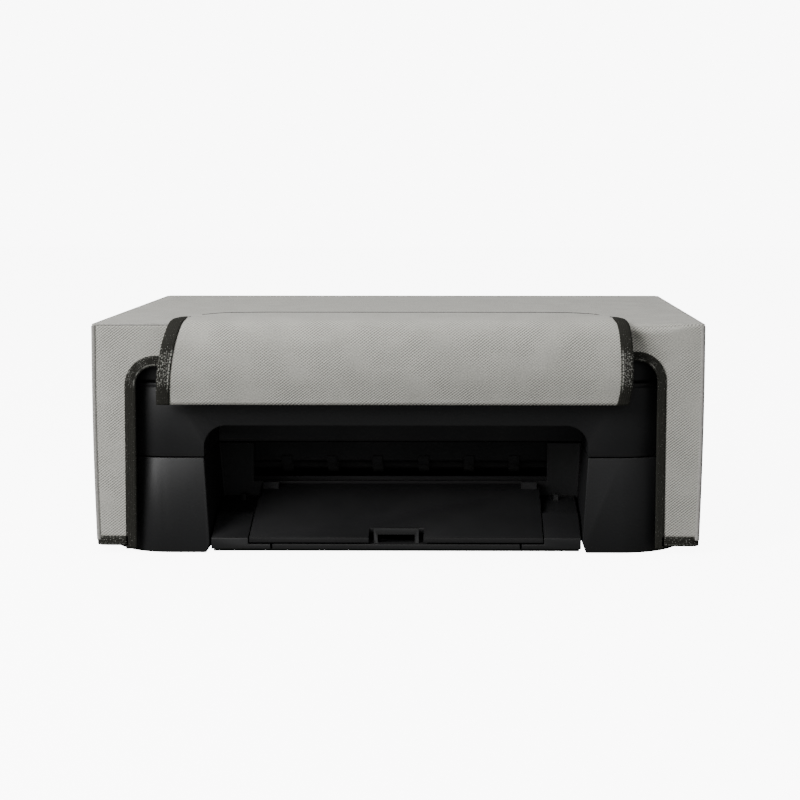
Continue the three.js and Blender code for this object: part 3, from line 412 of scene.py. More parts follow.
# %% The panel's outer edge
def along_edge(share):
    """The point of the panel's outer edge that goes with the same share of the opening."""
    mirrored = share > 0.5
    s = 1 - share if mirrored else share
    sign = 1 if mirrored else -1
    top_z = TOP - EDGE * front_turn(sign * HALF_WIDTH * 0.9)
    side_edge = side_x(top_z, sign) - EDGE * TURN
    if s < LEG_SHARE:
        z = FOOT + (BEND_Z - FOOT) * s / LEG_SHARE
        x = side_x(z, sign) - EDGE * TURN
    elif s < LEG_SHARE + ARC_SHARE / 2:
        z = BEND_Z + (top_z - BEND_Z) * (s - LEG_SHARE) / (ARC_SHARE / 2)
        x = side_x(z, sign) - EDGE * TURN
    elif s < LEG_SHARE + ARC_SHARE:
        part = (s - LEG_SHARE - ARC_SHARE / 2) / (ARC_SHARE / 2)
        x, z = side_edge + (BEND_X - side_edge) * part, top_z
        z = TOP - EDGE * front_turn(sign * x)
    else:
        x = BEND_X * (0.5 - s) / (0.5 - LEG_SHARE - ARC_SHARE)
        z = TOP - EDGE * front_turn(sign * x)
    return sign * x, z


edge_foot = along_edge(0)
print("outer edge: foot", [round(c, 3) for c in edge_foot])

# %% [markdown]
# The panel fills the room between the two edges, turns through half of the corner at its outer
# edge and dips along the crease. A fade keeps the crease from cutting into the top seam.

# %% Front panel
SEWN_UNDER = 2 * mm  # how far the panel's edge lies inside the tape
CREASE_START = Vector((0.166, 0.163))
CREASE_END = Vector((0.190, 0.140))
CREASE_DEPTH = 2.2 * mm
CREASE_WIDTH = 7 * mm
CREASE_FADE = (0.157, 0.1645)


def crease(x, z):
    """How deep the slack cloth folds in at a point of the front."""
    line = CREASE_END - CREASE_START
    share = (Vector((x, z)) - CREASE_START).dot(line) / line.length_squared
    share = min(max(share, 0), 1)
    away_from = (Vector((x, z)) - CREASE_START - line * share).length
    depth = CREASE_DEPTH * (1 - 0.5 * share) * (1 - smooth(*CREASE_FADE, z))
    return depth * math.exp(-((away_from / CREASE_WIDTH) ** 2))


def front_panel(u, v):
    inner = Vector(along_arch(u, inset=SEWN_UNDER))
    outer = Vector(along_edge(u))
    x, z = inner.lerp(outer, crowded(v, 0.1))
    drop = max(half_turn(side_x(z, x) - abs(x), TURN), half_turn(TOP - z, front_turn(x)))
    y = FRONT + drop + crease(x, z) - 0.5 * ripple((x, 0, z))
    return Vector((x, y, z)), (x, z)


panels["cover_front_cloth"] = cloth(
    "cover_front_cloth", 220, 16, front_panel, away((0, -1, 0)), CLOTH
)

# %% [markdown]
# The flap is one sheet, sewn down along its rear edge on the top. It rises over the front edge,
# swells out in front and hangs down over the scanner. One smooth curve gives its side view, and
# its width changes along that curve, because the bound sides pull in at the crest and at the foot.

# %% The flap's side view
FLAP_THICK = 2 * mm
# distance behind the cover's front and height over its top, in millimetres
FLAP_CURVE = [(69, 1.5), (53, 3.1), (37, 4.4), (21, 4.2), (7, 3.3), (-4, 0.2)]
FLAP_CURVE += [(-10, -9), (-12.6, -22), (-12.6, -38), (-9, -57.2)]


def smooth_curve(points, samples=400):
    """Even steps along a soft curve through the points."""
    points = [Vector(p) for p in points]
    ends = [2 * points[0] - points[1], *points, 2 * points[-1] - points[-2]]
    dense = []
    for p0, p1, p2, p3 in zip(ends, ends[1:], ends[2:], ends[3:]):
        for i in range(20):
            t = i / 20
            dense.append(
                0.5 * (2 * p1 + (p2 - p0) * t + (2 * p0 - 5 * p1 + 4 * p2 - p3) * t**2
                       + (3 * p1 - p0 - 3 * p2 + p3) * t**3)
            )
    dense.append(points[-1])
    steps = np.cumsum([0] + [(b - a).length for a, b in zip(dense, dense[1:])])
    wanted = np.linspace(0, steps[-1], samples)
    axes = [np.interp(wanted, steps, [p[k] for p in dense]) for k in range(2)]
    return np.column_stack(axes), steps[-1]


flap_line, flap_length = smooth_curve(
    [(FRONT + y * mm, TOP + z * mm) for y, z in FLAP_CURVE]
)
print("flap:", round(flap_length, 4), "m long")

# %% [markdown]
# The flap's half width is given at a few shares of its length, for each side by itself, because
# it was cut a little askew. Its bound sides are heavy, so they settle onto the cover's edge.

# %% The flap's width and surface
FLAP_SHARES = (0, 0.12, 0.25, 0.35, 0.43, 0.5, 0.56, 0.62, 0.68, 0.75, 0.84, 0.93, 1)
FLAP_LEFT = (140, 146, 150, 153.5, 158, 161.5, 163.9, 166.1, 168.1, 169.9, 171.7, 172.6, 173)
FLAP_RIGHT = (140, 146, 151, 155, 159, 162.5, 165.4, 166.7, 167.4, 167.9, 168.1, 167.4, 165.6)
SETTLE = 2.3 * mm
FLAP_RIPPLE = 0.5 * mm
FLAP_BOUND = 0.8 * mm  # how much of the tape lies beyond the cloth's cut edge


def flap_half(share, side):
    """Half the flap's width on its left (-1) or right (1) side."""
    widths = FLAP_LEFT if side < 0 else FLAP_RIGHT
    return float(np.interp(share, FLAP_SHARES, widths)) * mm


def flap_point(share, x, lift=0.0):
    """A point of the flap at a share of its length from the seam, and x across it."""
    at = share * (len(flap_line) - 1)
    i = min(int(at), len(flap_line) - 2)
    here = Vector(flap_line[i]).lerp(Vector(flap_line[i + 1]), at - i)
    ahead = (Vector(flap_line[i + 1]) - Vector(flap_line[i])).normalized()
    side = abs(x) / flap_half(share, x)
    settle = SETTLE * side**12 * smooth(0.1, 0.22, share) * (1 - smooth(0.36, 0.5, share))
    wave = ripple((x, share * 0.4, 9), FLAP_RIPPLE) * smooth(0.15, 0.6, share)
    out = lift + wave
    return Vector((x, here.x + ahead.y * out, here.y - ahead.x * out - settle))


def flap_place(u, v):
    across = (crowded(u, 0.1) - 0.5) * 2
    x = across * (flap_half(v, across) - FLAP_BOUND)
    return flap_point(v, x), (x, -v * flap_length)


def flap_outward(centre):
    """Up on the part that lies on the top, forward on the part that hangs."""
    return Vector((0, min(centre.y + 0.08, 0) * 6, centre.z - TOP + 0.05))


flap, _ = cloth("flap_cloth", 80, 60, flap_place, flap_outward, FLAP_THICK, centred=True)

# %% [markdown]
# The cut edges are bound with a dark woven tape, folded over the cloth and sewn through. The tape
# is a strip of its own that is a little thicker than the cloth it wraps. It carries an attribute
# that says where it was pulled round a bend, because there the pale stitches show through.

# %% The flap's tapes
TAPE_WIDE = 8 * mm
TAPE_OVER = 1.0 * mm  # how much thicker a bound edge is than its cloth
FLAP_TAPE = {-1: 9.6 * mm, 1: 8.6 * mm}
FLAP_TAPE_START = 0.33  # the binding begins at the flap's crest, tapering in from a point
TAPE_CURL = 0.5 * mm
FLAP_BEND = 1.15


def mark_bends(piece, amount):
    """Stores how hard the tape is pulled round a bend, from 0 to 1, at each of its points."""
    layer = piece.data.attributes.new("bend", "FLOAT", "POINT")
    layer.data.foreach_set("value", [amount(v.co) for v in piece.data.vertices])


def flap_tape(side):
    def place(u, v):
        share = FLAP_TAPE_START + v * (1 - FLAP_TAPE_START)
        half = flap_half(share, side)
        wide = FLAP_TAPE[side] * (0.04 + 0.96 * smooth(0, 0.3, v))
        x = side * (half - wide * (1 - u))
        curl = TAPE_CURL * smooth(0.6, 1, u)
        return flap_point(share, x, -curl), (share * flap_length, u * FLAP_TAPE[side])

    return place


for side, name in ((-1, "flap_tape_left"), (1, "flap_tape_right")):
    thick = FLAP_THICK + TAPE_OVER
    panels[name] = cloth(name, 6, 70, flap_tape(side), flap_outward, thick, centred=True)
    mark_bends(
        panels[name][0],
        lambda p: FLAP_BEND * smooth(0.153, 0.146, p.z) * smooth(0.119, 0.128, p.z),
    )

# %% [markdown]
# The opening's tape runs up the left leg, over the head and down the right leg. It follows the
# front panel's crease by a third, because a bound edge is stiffer than the cloth beside it.

# %% The opening's tape
RIGHT_LEG_NARROWER = 0.19  # the right leg was sewn deeper
TAPE_CREASE = 0.3
OPENING_BEND = 0.8
BEND_PATCH = 5 * mm
ARCH_LENGTH = 2 * (OPENING_TOP + OPENING_HALF)
ARCH_FOOT = 3.5 * mm


def arch_tape(u, v):
    wide = TAPE_WIDE * (1 - RIGHT_LEG_NARROWER * smooth(0.5, 0.66, u))
    x, z = along_arch(u, inset=v * wide, foot=ARCH_FOOT)
    y = FRONT + CLOTH / 2 + TAPE_CREASE * crease(x, z)
    return Vector((x, y, z)), (u * ARCH_LENGTH, (1 - v) * TAPE_WIDE)


panels["opening_tape"] = cloth(
    "opening_tape", 220, 5, arch_tape, away((0, -1, 0)), CLOTH + TAPE_OVER, centred=True
)
mark_bends(
    panels["opening_tape"][0],
    lambda p: OPENING_BEND * smooth(0.118, 0.126, p.z) * smooth(0.155, 0.166, abs(p.x))
    * smooth(-0.1, 0.3, noise.noise(p / BEND_PATCH)),
)

# %% [markdown]
# The hem's tape goes round the cover's foot, from the opening's left leg by the back to its right
# leg. Its path is a rectangle with rounded corners.

# %% The hem's path
HEM_TOP = FOOT + 0.5 * mm
HEM_FOOT = low.z
HEM_TURN = 5 * mm
HEM_UNDER_LEG = 0.2  # how much of a leg's tape the hem's end lies under


def hem_path():
    """The cover's foot seen from above, from the opening's left side round to its right side."""
    left, right = (side_x(HEM_FOOT, side) - CLOTH / 2 for side in (-1, 1))
    y0, y1 = FRONT + CLOTH / 2, BACK - CLOTH / 2
    start = OPENING_HALF - TAPE_WIDE * HEM_UNDER_LEG
    left_start, right_start = -start + OPENING_SHIFT - LEG_SPREAD, start + OPENING_SHIFT
    quarter = math.pi / 2
    corners = [(-left, y0, 3 * quarter), (-left, y1, 2 * quarter)]
    corners += [(right, y1, quarter), (right, y0, 0)]
    points = [(left_start, y0)]
    for cx, cy, begin in corners:
        centre_x = cx - math.copysign(HEM_TURN, cx)
        centre_y = cy + (HEM_TURN if cy < 0 else -HEM_TURN)
        for k in range(7):
            angle = begin - k / 6 * quarter
            x = centre_x + HEM_TURN * math.cos(angle)
            points.append((x, centre_y + HEM_TURN * math.sin(angle)))
    points.append((right_start, y0))
    return points


hem_points = hem_path()
hem_steps = np.cumsum([0] + [math.dist(a, b) for a, b in zip(hem_points, hem_points[1:])])
print("hem:", round(hem_steps[-1], 3), "m of tape")

# %% [markdown]
# The strip stands on that path. Nothing holds it down, so it waves up and down a little.

# %% The hem's tape
HEM_RIPPLE = 0.5 * mm
HEM_BEND = 0.42


def hem_place(u, v):
    at = u * hem_steps[-1]
    x, y = (np.interp(at, hem_steps, [p[k] for p in hem_points]) for k in range(2))
    z = HEM_FOOT + v * (HEM_TOP - HEM_FOOT) + ripple((x, y, 5), HEM_RIPPLE)
    return Vector((x, y, z)), (at, v * TAPE_WIDE)


def from_middle(centre):
    """Outwards from the cover's middle, in plan."""
    return Vector((centre.x, (centre.y - MIDDLE_Y) * 1.4, 0))


panels["hem_tape"] = cloth(
    "hem_tape", 420, 3, hem_place, from_middle, CLOTH + TAPE_OVER, centred=True
)
mark_bends(panels["hem_tape"][0], lambda p: HEM_BEND)

# %% [markdown]
# Seams need a thin round roll of cloth, and the shadow painted along the flap's crest a thin dark
# tube. A curve with a bevel depth is the quickest way to a tube, and it is made a mesh so that its
# place is in the mesh itself.

# %% Roll helper
def seam_roll(name, points, radius):
    """A thin tube of cloth along a line of points."""
    path = bpy.data.curves.new(name, "CURVE")
    path.dimensions = "3D"
    path.bevel_depth = radius
    path.bevel_resolution = 2
    path.use_fill_caps = True
    line = path.splines.new("POLY")
    line.points.add(len(points) - 1)
    for spot, point in zip(line.points, points):
        spot.co = (*point, 1)
    drawn = bpy.data.objects.new(name, path)
    link(drawn)
    bpy.context.view_layer.update()
    depsgraph = bpy.context.evaluated_depsgraph_get()
    mesh = bpy.data.meshes.new_from_object(drawn.evaluated_get(depsgraph))
    bpy.data.objects.remove(drawn)
    mesh.name = name
    for face in mesh.polygons:
        face.use_smooth = True
    piece = bpy.data.objects.new(name, mesh)
    link(piece)
    return piece


# %% [markdown]
# Where the flap rides over its crest, the gap behind it lies in shade, which reads as one thin dark
# line from one bound side to the other. That shadow is painted: a dark thread laid along the crest
# stands for it.

# %% The flap's crest line, a painted shadow
CREST_SHARE = 0.2
CREST_END = 1.5 * mm
CREST_SHADOW_RADIUS = 0.38 * mm
CREST_STANDS = 0.05 * mm
CREST_STEPS = 40
crest_left, crest_right = (flap_half(CREST_SHARE, side) - CREST_END for side in (-1, 1))
crest_shadow_points = []
for step in range(CREST_STEPS + 1):
    x = -crest_left + (crest_left + crest_right) * step / CREST_STEPS
    crest_shadow_points.append(flap_point(CREST_SHARE, x, FLAP_THICK / 2 + CREST_STANDS))
# painted shadow: this dark tube stands for the shade in the gap behind the flap's crest
crest_shadow_line = seam_roll("flap_crest_shadow_line", crest_shadow_points, CREST_SHADOW_RADIUS)
print("crest line:", round(crest_left + crest_right, 3), "m")

# %% [markdown]
# Inside each corner seam the spare cloth is folded into a thin roll that stands proud. It reads as
# a double line down each corner. The seams round the top have a thinner roll, and the front one
# stops halfway, where the seam goes slack.

# %% Seam rolls
CORNER_ROLL = 1.75 * mm
CORNER_IN = 1.7 * mm
CORNER_BACK = 0.7 * mm
ROLL_FOOT = FOOT - 2 * mm
ROLL_HEAD = TOP - TURN * 0.6
TOP_ROLL = 0.7 * mm
SEAM_IN = EDGE * TURN  # the seams round the top lie this far inside the cover's box
seam_z = TOP - SEAM_IN
rolls = []
for side, side_name in ((-1, "left"), (1, "right")):
    for y, end_name in ((FRONT, "front"), (BACK, "back")):
        inward = 1 if y < 0 else -1
        upright = []
        for step in range(25):
            z = ROLL_FOOT + (ROLL_HEAD - ROLL_FOOT) * step / 24
            x = side * (side_x(z, side) - CORNER_IN)
            upright.append((x, y + inward * CORNER_BACK, z))
        rolls.append(seam_roll(f"seam_{end_name}_{side_name}", upright, CORNER_ROLL))
    seam_x = side * (HALF_WIDTH - SEAM_IN)
    line = [(seam_x, FRONT + TURN + (BACK - FRONT - 2 * TURN) * k / 30, seam_z) for k in range(31)]
    rolls.append(seam_roll("seam_top_" + side_name, line, TOP_ROLL))
reach = HALF_WIDTH - TURN
line = [(-reach + 2 * reach * k / 30, BACK - SEAM_IN, seam_z) for k in range(31)]
rolls.append(seam_roll("seam_top_back", line, TOP_ROLL))
line = [(-reach + reach * k / 15, FRONT + SEAM_IN, seam_z) for k in range(16)]
rolls.append(seam_roll("seam_top_front", line, TOP_ROLL))
print("seam rolls:", len(rolls))

# %% [markdown]
# The front of the lower case flares out a little to its foot, and so does the tray that closes
# it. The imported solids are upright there, so the copies below are pushed forward towards the foot.

# %% Flare of the lower case
FLARE = 6 * mm
FLARE_POWER = 1.3
case_low, case_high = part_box("base_case")
FLARE_TOP = case_high.z
CASE_FRONT = case_low.y
FLARE_BACK = CASE_FRONT + 70 * mm
FLARED = ("base_case", "tray_apron", "output_tray", "tray_extension")


def flared(point):
    """Moves a point near the front forward, more towards the foot."""
    share = min(max(1 - point.z / FLARE_TOP, 0), 1)
    near = smooth(FLARE_BACK, CASE_FRONT, point.y)
    return Vector((point.x, point.y - FLARE * share**FLARE_POWER * near, point.z))


print("flare:", FLARE, "m at the foot of", ", ".join(FLARED))

# %% [markdown]
# The casings are injection moulded, so no edge is sharp: each is rounded by about half a
# millimetre and the rounding catches the light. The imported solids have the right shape, so each
# shown moulding is a merged copy of its solid with a fine bevel.

# %% Moulding helper
MERGE = 0.01 * mm
FLAT_ENOUGH = math.radians(0.6)
SHARP = math.radians(32)


def moulded(node, radius):
    """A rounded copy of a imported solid, which stands for it."""
    bm = bmesh.new()
    bm.from_mesh(nodes[node].data)
    bmesh.ops.remove_doubles(bm, verts=bm.verts, dist=MERGE)
    bmesh.ops.dissolve_limit(bm, angle_limit=FLAT_ENOUGH, verts=bm.verts, edges=bm.edges)
    if node in FLARED:
        for v in bm.verts:
            v.co = flared(v.co)
    for face in bm.faces:
        face.smooth = True
    piece = link_mesh(node + "_moulding", bm)
    rounding = piece.modifiers.new("rounding", "BEVEL")
    rounding.width = radius
    rounding.segments = 2
    rounding.limit_method = "ANGLE"
    rounding.angle_limit = SHARP
    rounding.harden_normals = True
    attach(piece, nodes[node]["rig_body"])
    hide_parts(node)
    return piece


# %% [markdown]
# Large shells have the softest edges and small inner mouldings the crispest. The table gives each
# moulding's rounding in millimetres, under the finish that it shares with its neighbours.

# %% Moulded casings
MOULDINGS = {
    "case_black": {
        "base_case": 0.9,
        "rear_housing": 0.6,
        "paper_support": 0.4,
        "output_tray": 0.5,
        "tray_extension": 0.5,
        "tray_apron": 0.5,
        "middle_shell": 0.6,
        "scanner_bed": 0.6,
        "scanner_bezel": 0.4,
        "control_panel": 0.6,
        "lid_shell": 1.0,
    },
    "inner_black": {
        "carriage": 0.4,
        "star_wheel_bar": 0.3,
        "platen_frame": 0.3,
        "service_station": 0.4,
        "scan_head": 0.4,
    },
    "cartridge_black": {"ink_cartridge_colour": 0.6, "ink_cartridge_black": 0.6},
    "white_plastic": {
        "power_button": 0.4,
        "wireless_button": 0.4,
        "copy_button": 0.4,
        "stop_button": 0.4,
        "lid_backing_pad": 1.0,
    },
}
mouldings = {}
for slot_name, members in MOULDINGS.items():
    for node, radius in members.items():
        mouldings[node] = (moulded(node, radius * mm), slot_name)
print("mouldings:", len(mouldings))

# %% [markdown]
# Finishes. Effects that several materials share are node groups: the moulding's fine grain, a
# light dust on faces that look up, and the cloth's weave. A group gives out only values, and
# each material puts its own colours and its own shader to them. These helpers keep the node
# trees short to write: each adds one node and joins it up.

# %% Node helpers
VALUE, VECTOR = "NodeSocketFloat", "NodeSocketVector"


def group(name, inputs, outputs):
    """An empty node group with named sockets, and its two end nodes."""
    made = bpy.data.node_groups.new(name, "ShaderNodeTree")
    for label, kind, value in inputs:
        socket = made.interface.new_socket(label, in_out="INPUT", socket_type=kind)
        if value is not None:
            socket.default_value = value
    for label, kind in outputs:
        made.interface.new_socket(label, in_out="OUTPUT", socket_type=kind)
    return made, made.nodes.new("NodeGroupInput"), made.nodes.new("NodeGroupOutput")


def feed(tree, socket, value):
    """Sets a socket to a number, or links it to another node's output."""
    if isinstance(value, (int, float)):
        socket.default_value = value
    elif value is not None:
        tree.links.new(value, socket)


def maths(tree, operation, a, b=None, clamp=False):
    node = tree.nodes.new("ShaderNodeMath")
    node.operation = operation
    node.use_clamp = clamp
    feed(tree, node.inputs[0], a)
    feed(tree, node.inputs[1], b)
    return node.outputs[0]


def product(tree, a, b, clamp=False):
    return maths(tree, "MULTIPLY", a, b, clamp)


def noise_of(tree, vector, scale, detail=2.0):
    node = tree.nodes.new("ShaderNodeTexNoise")
    node.inputs["Detail"].default_value = detail
    feed(tree, node.inputs["Scale"], scale)
    tree.links.new(vector, node.inputs["Vector"])
    return node.outputs["Fac"]


def bands(tree, vector, angle, scale, distortion=0.0):
    """Soft stripes across a turned direction."""
    turn = tree.nodes.new("ShaderNodeMapping")
    turn.inputs["Rotation"].default_value = (0, 0, angle)
    tree.links.new(vector, turn.inputs["Vector"])
    wave = tree.nodes.new("ShaderNodeTexWave")
    wave.inputs["Distortion"].default_value = distortion
    wave.inputs["Detail"].default_value = 1
    wave.inputs["Scale"].default_value = scale
    tree.links.new(turn.outputs["Vector"], wave.inputs["Vector"])
    return wave.outputs["Fac"]


def stripe_scale(period):
    """The Scale at which a Wave Texture repeats after a period, in metres."""
    return 2 * math.pi / (20 * period)


def object_place(tree):
    return tree.nodes.new("ShaderNodeTexCoord").outputs["Object"]


print("node helpers ready")

# %% [markdown]
# A mould is spark eroded, so moulded plastic has a fine even grain. A slow cloud goes with it,
# for the small change of gloss that a big moulding shows from place to place.

# %% Moulded grain
CLOUD_SCALE = 14.0
grain, given, result = group(
    "moulded_grain", [("Scale", VALUE, 900.0)], [("Height", VALUE), ("Cloud", VALUE)]
)
place = object_place(grain)
fine = noise_of(grain, place, given.outputs["Scale"], 3)
cloud = noise_of(grain, place, CLOUD_SCALE, 3)
grain.links.new(fine, result.inputs["Height"])
grain.links.new(cloud, result.inputs["Cloud"])
print("group:", grain.name)

# %% [markdown]
# Dust settles on what looks up, in patches. The surface normal's Z, raised to a power, says how
# far a face looks up.

# %% Settled dust
PATCH_SCALE = 60.0
dust, given, result = group("settled_dust", [("Amount", VALUE, 0.3)], [("Mask", VALUE)])
facing = dust.nodes.new("ShaderNodeNewGeometry").outputs["Normal"]
parts = dust.nodes.new("ShaderNodeSeparateXYZ")
dust.links.new(facing, parts.inputs[0])
upward = maths(dust, "POWER", maths(dust, "MAXIMUM", parts.outputs["Z"], 0.0), 3.0)
patchy = product(dust, noise_of(dust, object_place(dust), PATCH_SCALE, 4), upward)
dust.links.new(product(dust, patchy, given.outputs["Amount"]), result.inputs["Mask"])
print("group:", dust.name)

# %% [markdown]
# The cover's cloth is a stiff twill. Its ribs slant to the right, and a weaker set slants back
# across them and cuts them into beads. The ribs are clear in some patches and worn in others. Real
# threads would be millions of faces, so the weave is stripes in a node group, on the cloth's UVs.

# %% Twill weave
TWILL_PERIOD = 1.6 * mm
COUNTER_PERIOD = 1.06 * TWILL_PERIOD
THREAD_PERIOD = 0.62 * mm
CROSS_PERIOD = 1.3 * THREAD_PERIOD
TWILL_ANGLE = math.radians(52)
LEADING = 0.68  # share of the ribs that slants to the right
WORN_SCALE, WORN, CLEARNESS = 42.0, 0.32, 9.5
DEEP = 0.7  # share of the height that the ribs have, and the threads have the rest
SLUB_SCALE, MELANGE_SCALE = 950.0, 38.0
RIB_SHADE, SHADE_LEVEL = 1.15, 0.43
weave, given, result = group(
    "twill_weave",
    [("Vector", VECTOR, None)],
    [("Height", VALUE), ("Shade", VALUE), ("Melange", VALUE)],
)
flat = given.outputs["Vector"]
leading = bands(weave, flat, TWILL_ANGLE, stripe_scale(TWILL_PERIOD), 0.7)
counter = bands(weave, flat, -TWILL_ANGLE, stripe_scale(COUNTER_PERIOD), 0.7)
ribs = maths(weave, "ADD", product(weave, leading, LEADING), product(weave, counter, 1 - LEADING))
patchy = maths(weave, "SUBTRACT", noise_of(weave, flat, WORN_SCALE, 3), WORN, clamp=True)
clearness = product(weave, patchy, CLEARNESS)
contrast = product(weave, maths(weave, "SUBTRACT", ribs, 0.5), clearness)
diagonal = maths(weave, "ADD", contrast, 0.5)
threads = bands(weave, flat, 0, stripe_scale(THREAD_PERIOD), 0.4)
across = bands(weave, flat, math.pi / 2, stripe_scale(CROSS_PERIOD), 0.4)
crossing = product(weave, threads, across)
height = maths(weave, "ADD", product(weave, diagonal, DEEP), product(weave, crossing, 1 - DEEP))
weave.links.new(height, result.inputs["Height"])
slub = noise_of(weave, flat, SLUB_SCALE, 1)
shade = maths(weave, "ADD", product(weave, height, RIB_SHADE), slub)
weave.links.new(maths(weave, "SUBTRACT", shade, SHADE_LEVEL), result.inputs["Shade"])
weave.links.new(noise_of(weave, flat, MELANGE_SCALE, 4), result.inputs["Melange"])
print("group:", weave.name)

# %% [markdown]
# Each finish starts from a Principled shader. What changes over the surface is linked to it, and
# what doesn't is set on the shader's own sockets, where an export can read it.

# %% Material helpers
def fresh(name, roughness, metallic=0.0, specular=0.5):
    """A new material, its node tree and its Principled shader."""
    made = bpy.data.materials.new(name)
    made.use_nodes = True
    shader = made.node_tree.nodes["Principled BSDF"]
    shader.inputs["Roughness"].default_value = roughness
    shader.inputs["Metallic"].default_value = metallic
    shader.inputs["Specular IOR Level"].default_value = specular
    return made, made.node_tree, shader


def put(tree, shared):
    """A node for one of the shared groups."""
    node = tree.nodes.new("ShaderNodeGroup")
    node.node_tree = shared
    return node


def blend_colours(tree, factor, dark, light, socket):
    """Goes from dark to light with the factor, into the socket."""
    mix = tree.nodes.new("ShaderNodeMix")
    mix.data_type = "RGBA"
    mix.inputs["A"].default_value = (*dark, 1)
    mix.inputs["B"].default_value = (*light, 1)
    tree.links.new(factor, mix.inputs["Factor"])
    tree.links.new(mix.outputs["Result"], socket)
    return mix


def ranged(tree, value, low_out, high_out, low_in=0.3, high_in=0.7):
    """Spreads the range that a noise mostly keeps to over another one."""
    node = tree.nodes.new("ShaderNodeMapRange")
    ends = {"From Min": low_in, "From Max": high_in, "To Min": low_out, "To Max": high_out}
    for label, number in ends.items():
        node.inputs[label].default_value = number
    tree.links.new(value, node.inputs["Value"])
    return node.outputs["Result"]


def bumped(tree, shader, height, strength, distance):
    """Shades the surface as if it had this height."""
    bump = tree.nodes.new("ShaderNodeBump")
    bump.inputs["Strength"].default_value = strength
    bump.inputs["Distance"].default_value = distance
    tree.links.new(height, bump.inputs["Height"])
    tree.links.new(bump.outputs["Normal"], shader.inputs["Normal"])


print("material helpers ready")

# %% [markdown]
# The shells are black plastic with a fine grain. The grain goes to the bump, the cloud to the
# gloss and the dust to the colour, so the black is never the same all over.

# %% Plastics and steel
PLASTIC_SPECULAR = 0.32
GRAIN_DEEP, STREAK_DEEP = 0.1 * mm, 0.05 * mm


def plastic(name, colour, roughness, grain_scale=900.0, grain_depth=0.12, dusty=0.06):
    """Moulded plastic: fine grain, a slow change of gloss and a breath of dust on top."""
    made, tree, shader = fresh(name, roughness, specular=PLASTIC_SPECULAR)
    grained = put(tree, grain)
    grained.inputs["Scale"].default_value = grain_scale
    dusted = put(tree, dust)
    dusted.inputs["Amount"].default_value = dusty
    pale = tuple(0.5 * c + 0.12 for c in colour)
    blend_colours(tree, dusted.outputs["Mask"], colour, pale, shader.inputs["Base Color"])
    gloss = ranged(tree, grained.outputs["Cloud"], roughness - 0.05, roughness + 0.07)
    tree.links.new(gloss, shader.inputs["Roughness"])
    bumped(tree, shader, grained.outputs["Height"], grain_depth, GRAIN_DEEP)
    return made


def metal(name, colour, roughness):
    """Rolled or turned steel: fine streaks along one direction."""
    made, tree, shader = fresh(name, roughness, metallic=1.0)
    darker = tuple(0.8 * c for c in colour)
    stretch = tree.nodes.new("ShaderNodeMapping")
    stretch.inputs["Scale"].default_value = (0.04, 1, 1)
    tree.links.new(object_place(tree), stretch.inputs["Vector"])
    streaks = noise_of(tree, stretch.outputs["Vector"], 1500.0, 2)
    gloss = ranged(tree, streaks, roughness - 0.08, roughness + 0.12)
    tree.links.new(gloss, shader.inputs["Roughness"])
    blend_colours(tree, streaks, darker, colour, shader.inputs["Base Color"])
    bumped(tree, shader, streaks, 0.1, STREAK_DEEP)
    return made


finishes = {
    "case_black": plastic("case_black", (0.0095, 0.0095, 0.01), 0.47),
    "inner_black": plastic("inner_black", (0.005, 0.005, 0.0055), 0.65, dusty=0.02),
    "rubber_black": plastic("rubber_black", (0.018, 0.018, 0.018), 0.8, 500.0, 0.25),
    "cartridge_black": plastic("cartridge_black", (0.02, 0.02, 0.022), 0.25, 700.0, 0.05),
    "gear_white": plastic("gear_white", (0.62, 0.6, 0.53), 0.4, 600.0, 0.06),
    "white_plastic": plastic("white_plastic", (0.7, 0.7, 0.67), 0.45),
    "steel": metal("steel", (0.42, 0.43, 0.44), 0.34),
}
print("plastics and steel:", len(finishes))

# %% [markdown]
# The main board is green lacquer over copper tracks, and a fine brick pattern reads as tracks. The
# scanner's glass is clear, with faint smears that only its roughness shows.

# %% Board and glass
board, tree, shader = fresh("board_green", 0.4)
tracks = tree.nodes.new("ShaderNodeTexBrick")
tracks.inputs["Scale"].default_value = 160
tracks.inputs["Color1"].default_value = (0.01, 0.09, 0.035, 1)
tracks.inputs["Color2"].default_value = (0.013, 0.12, 0.045, 1)
tracks.inputs["Mortar"].default_value = (0.03, 0.2, 0.08, 1)
tree.links.new(object_place(tree), tracks.inputs["Vector"])
tree.links.new(tracks.outputs["Color"], shader.inputs["Base Color"])
finishes["board_green"] = board

glass, tree, shader = fresh("platen_glass", 0.03)
shader.inputs["Base Color"].default_value = (0.86, 0.93, 0.91, 1)
shader.inputs["Transmission Weight"].default_value = 1.0
shader.inputs["IOR"].default_value = 1.5
smears = noise_of(tree, object_place(tree), 22.0, 4)
tree.links.new(ranged(tree, smears, 0.02, 0.09), shader.inputs["Roughness"])
finishes["platen_glass"] = glass
print("finishes so far:", len(finishes))

# %% [markdown]
# The cloth has a lighter and a darker thread, so close up it sparkles a little and from afar it is
# an even grey. The weave's shade chooses between the two thread colours, and a slow melange
# keeps a whole panel from being one grey.

# %% Cover fabric
CLOTH_ROUGH, CLOTH_SPECULAR, CLOTH_SHEEN = 0.88, 0.25, 0.15
WEAVE_DEEP = 0.22 * mm


def cloth_place(tree):
    """The flat place of a point of cloth, in metres."""
    uv = tree.nodes.new("ShaderNodeUVMap")
    uv.uv_map = "cloth"
    return uv.outputs["UV"]


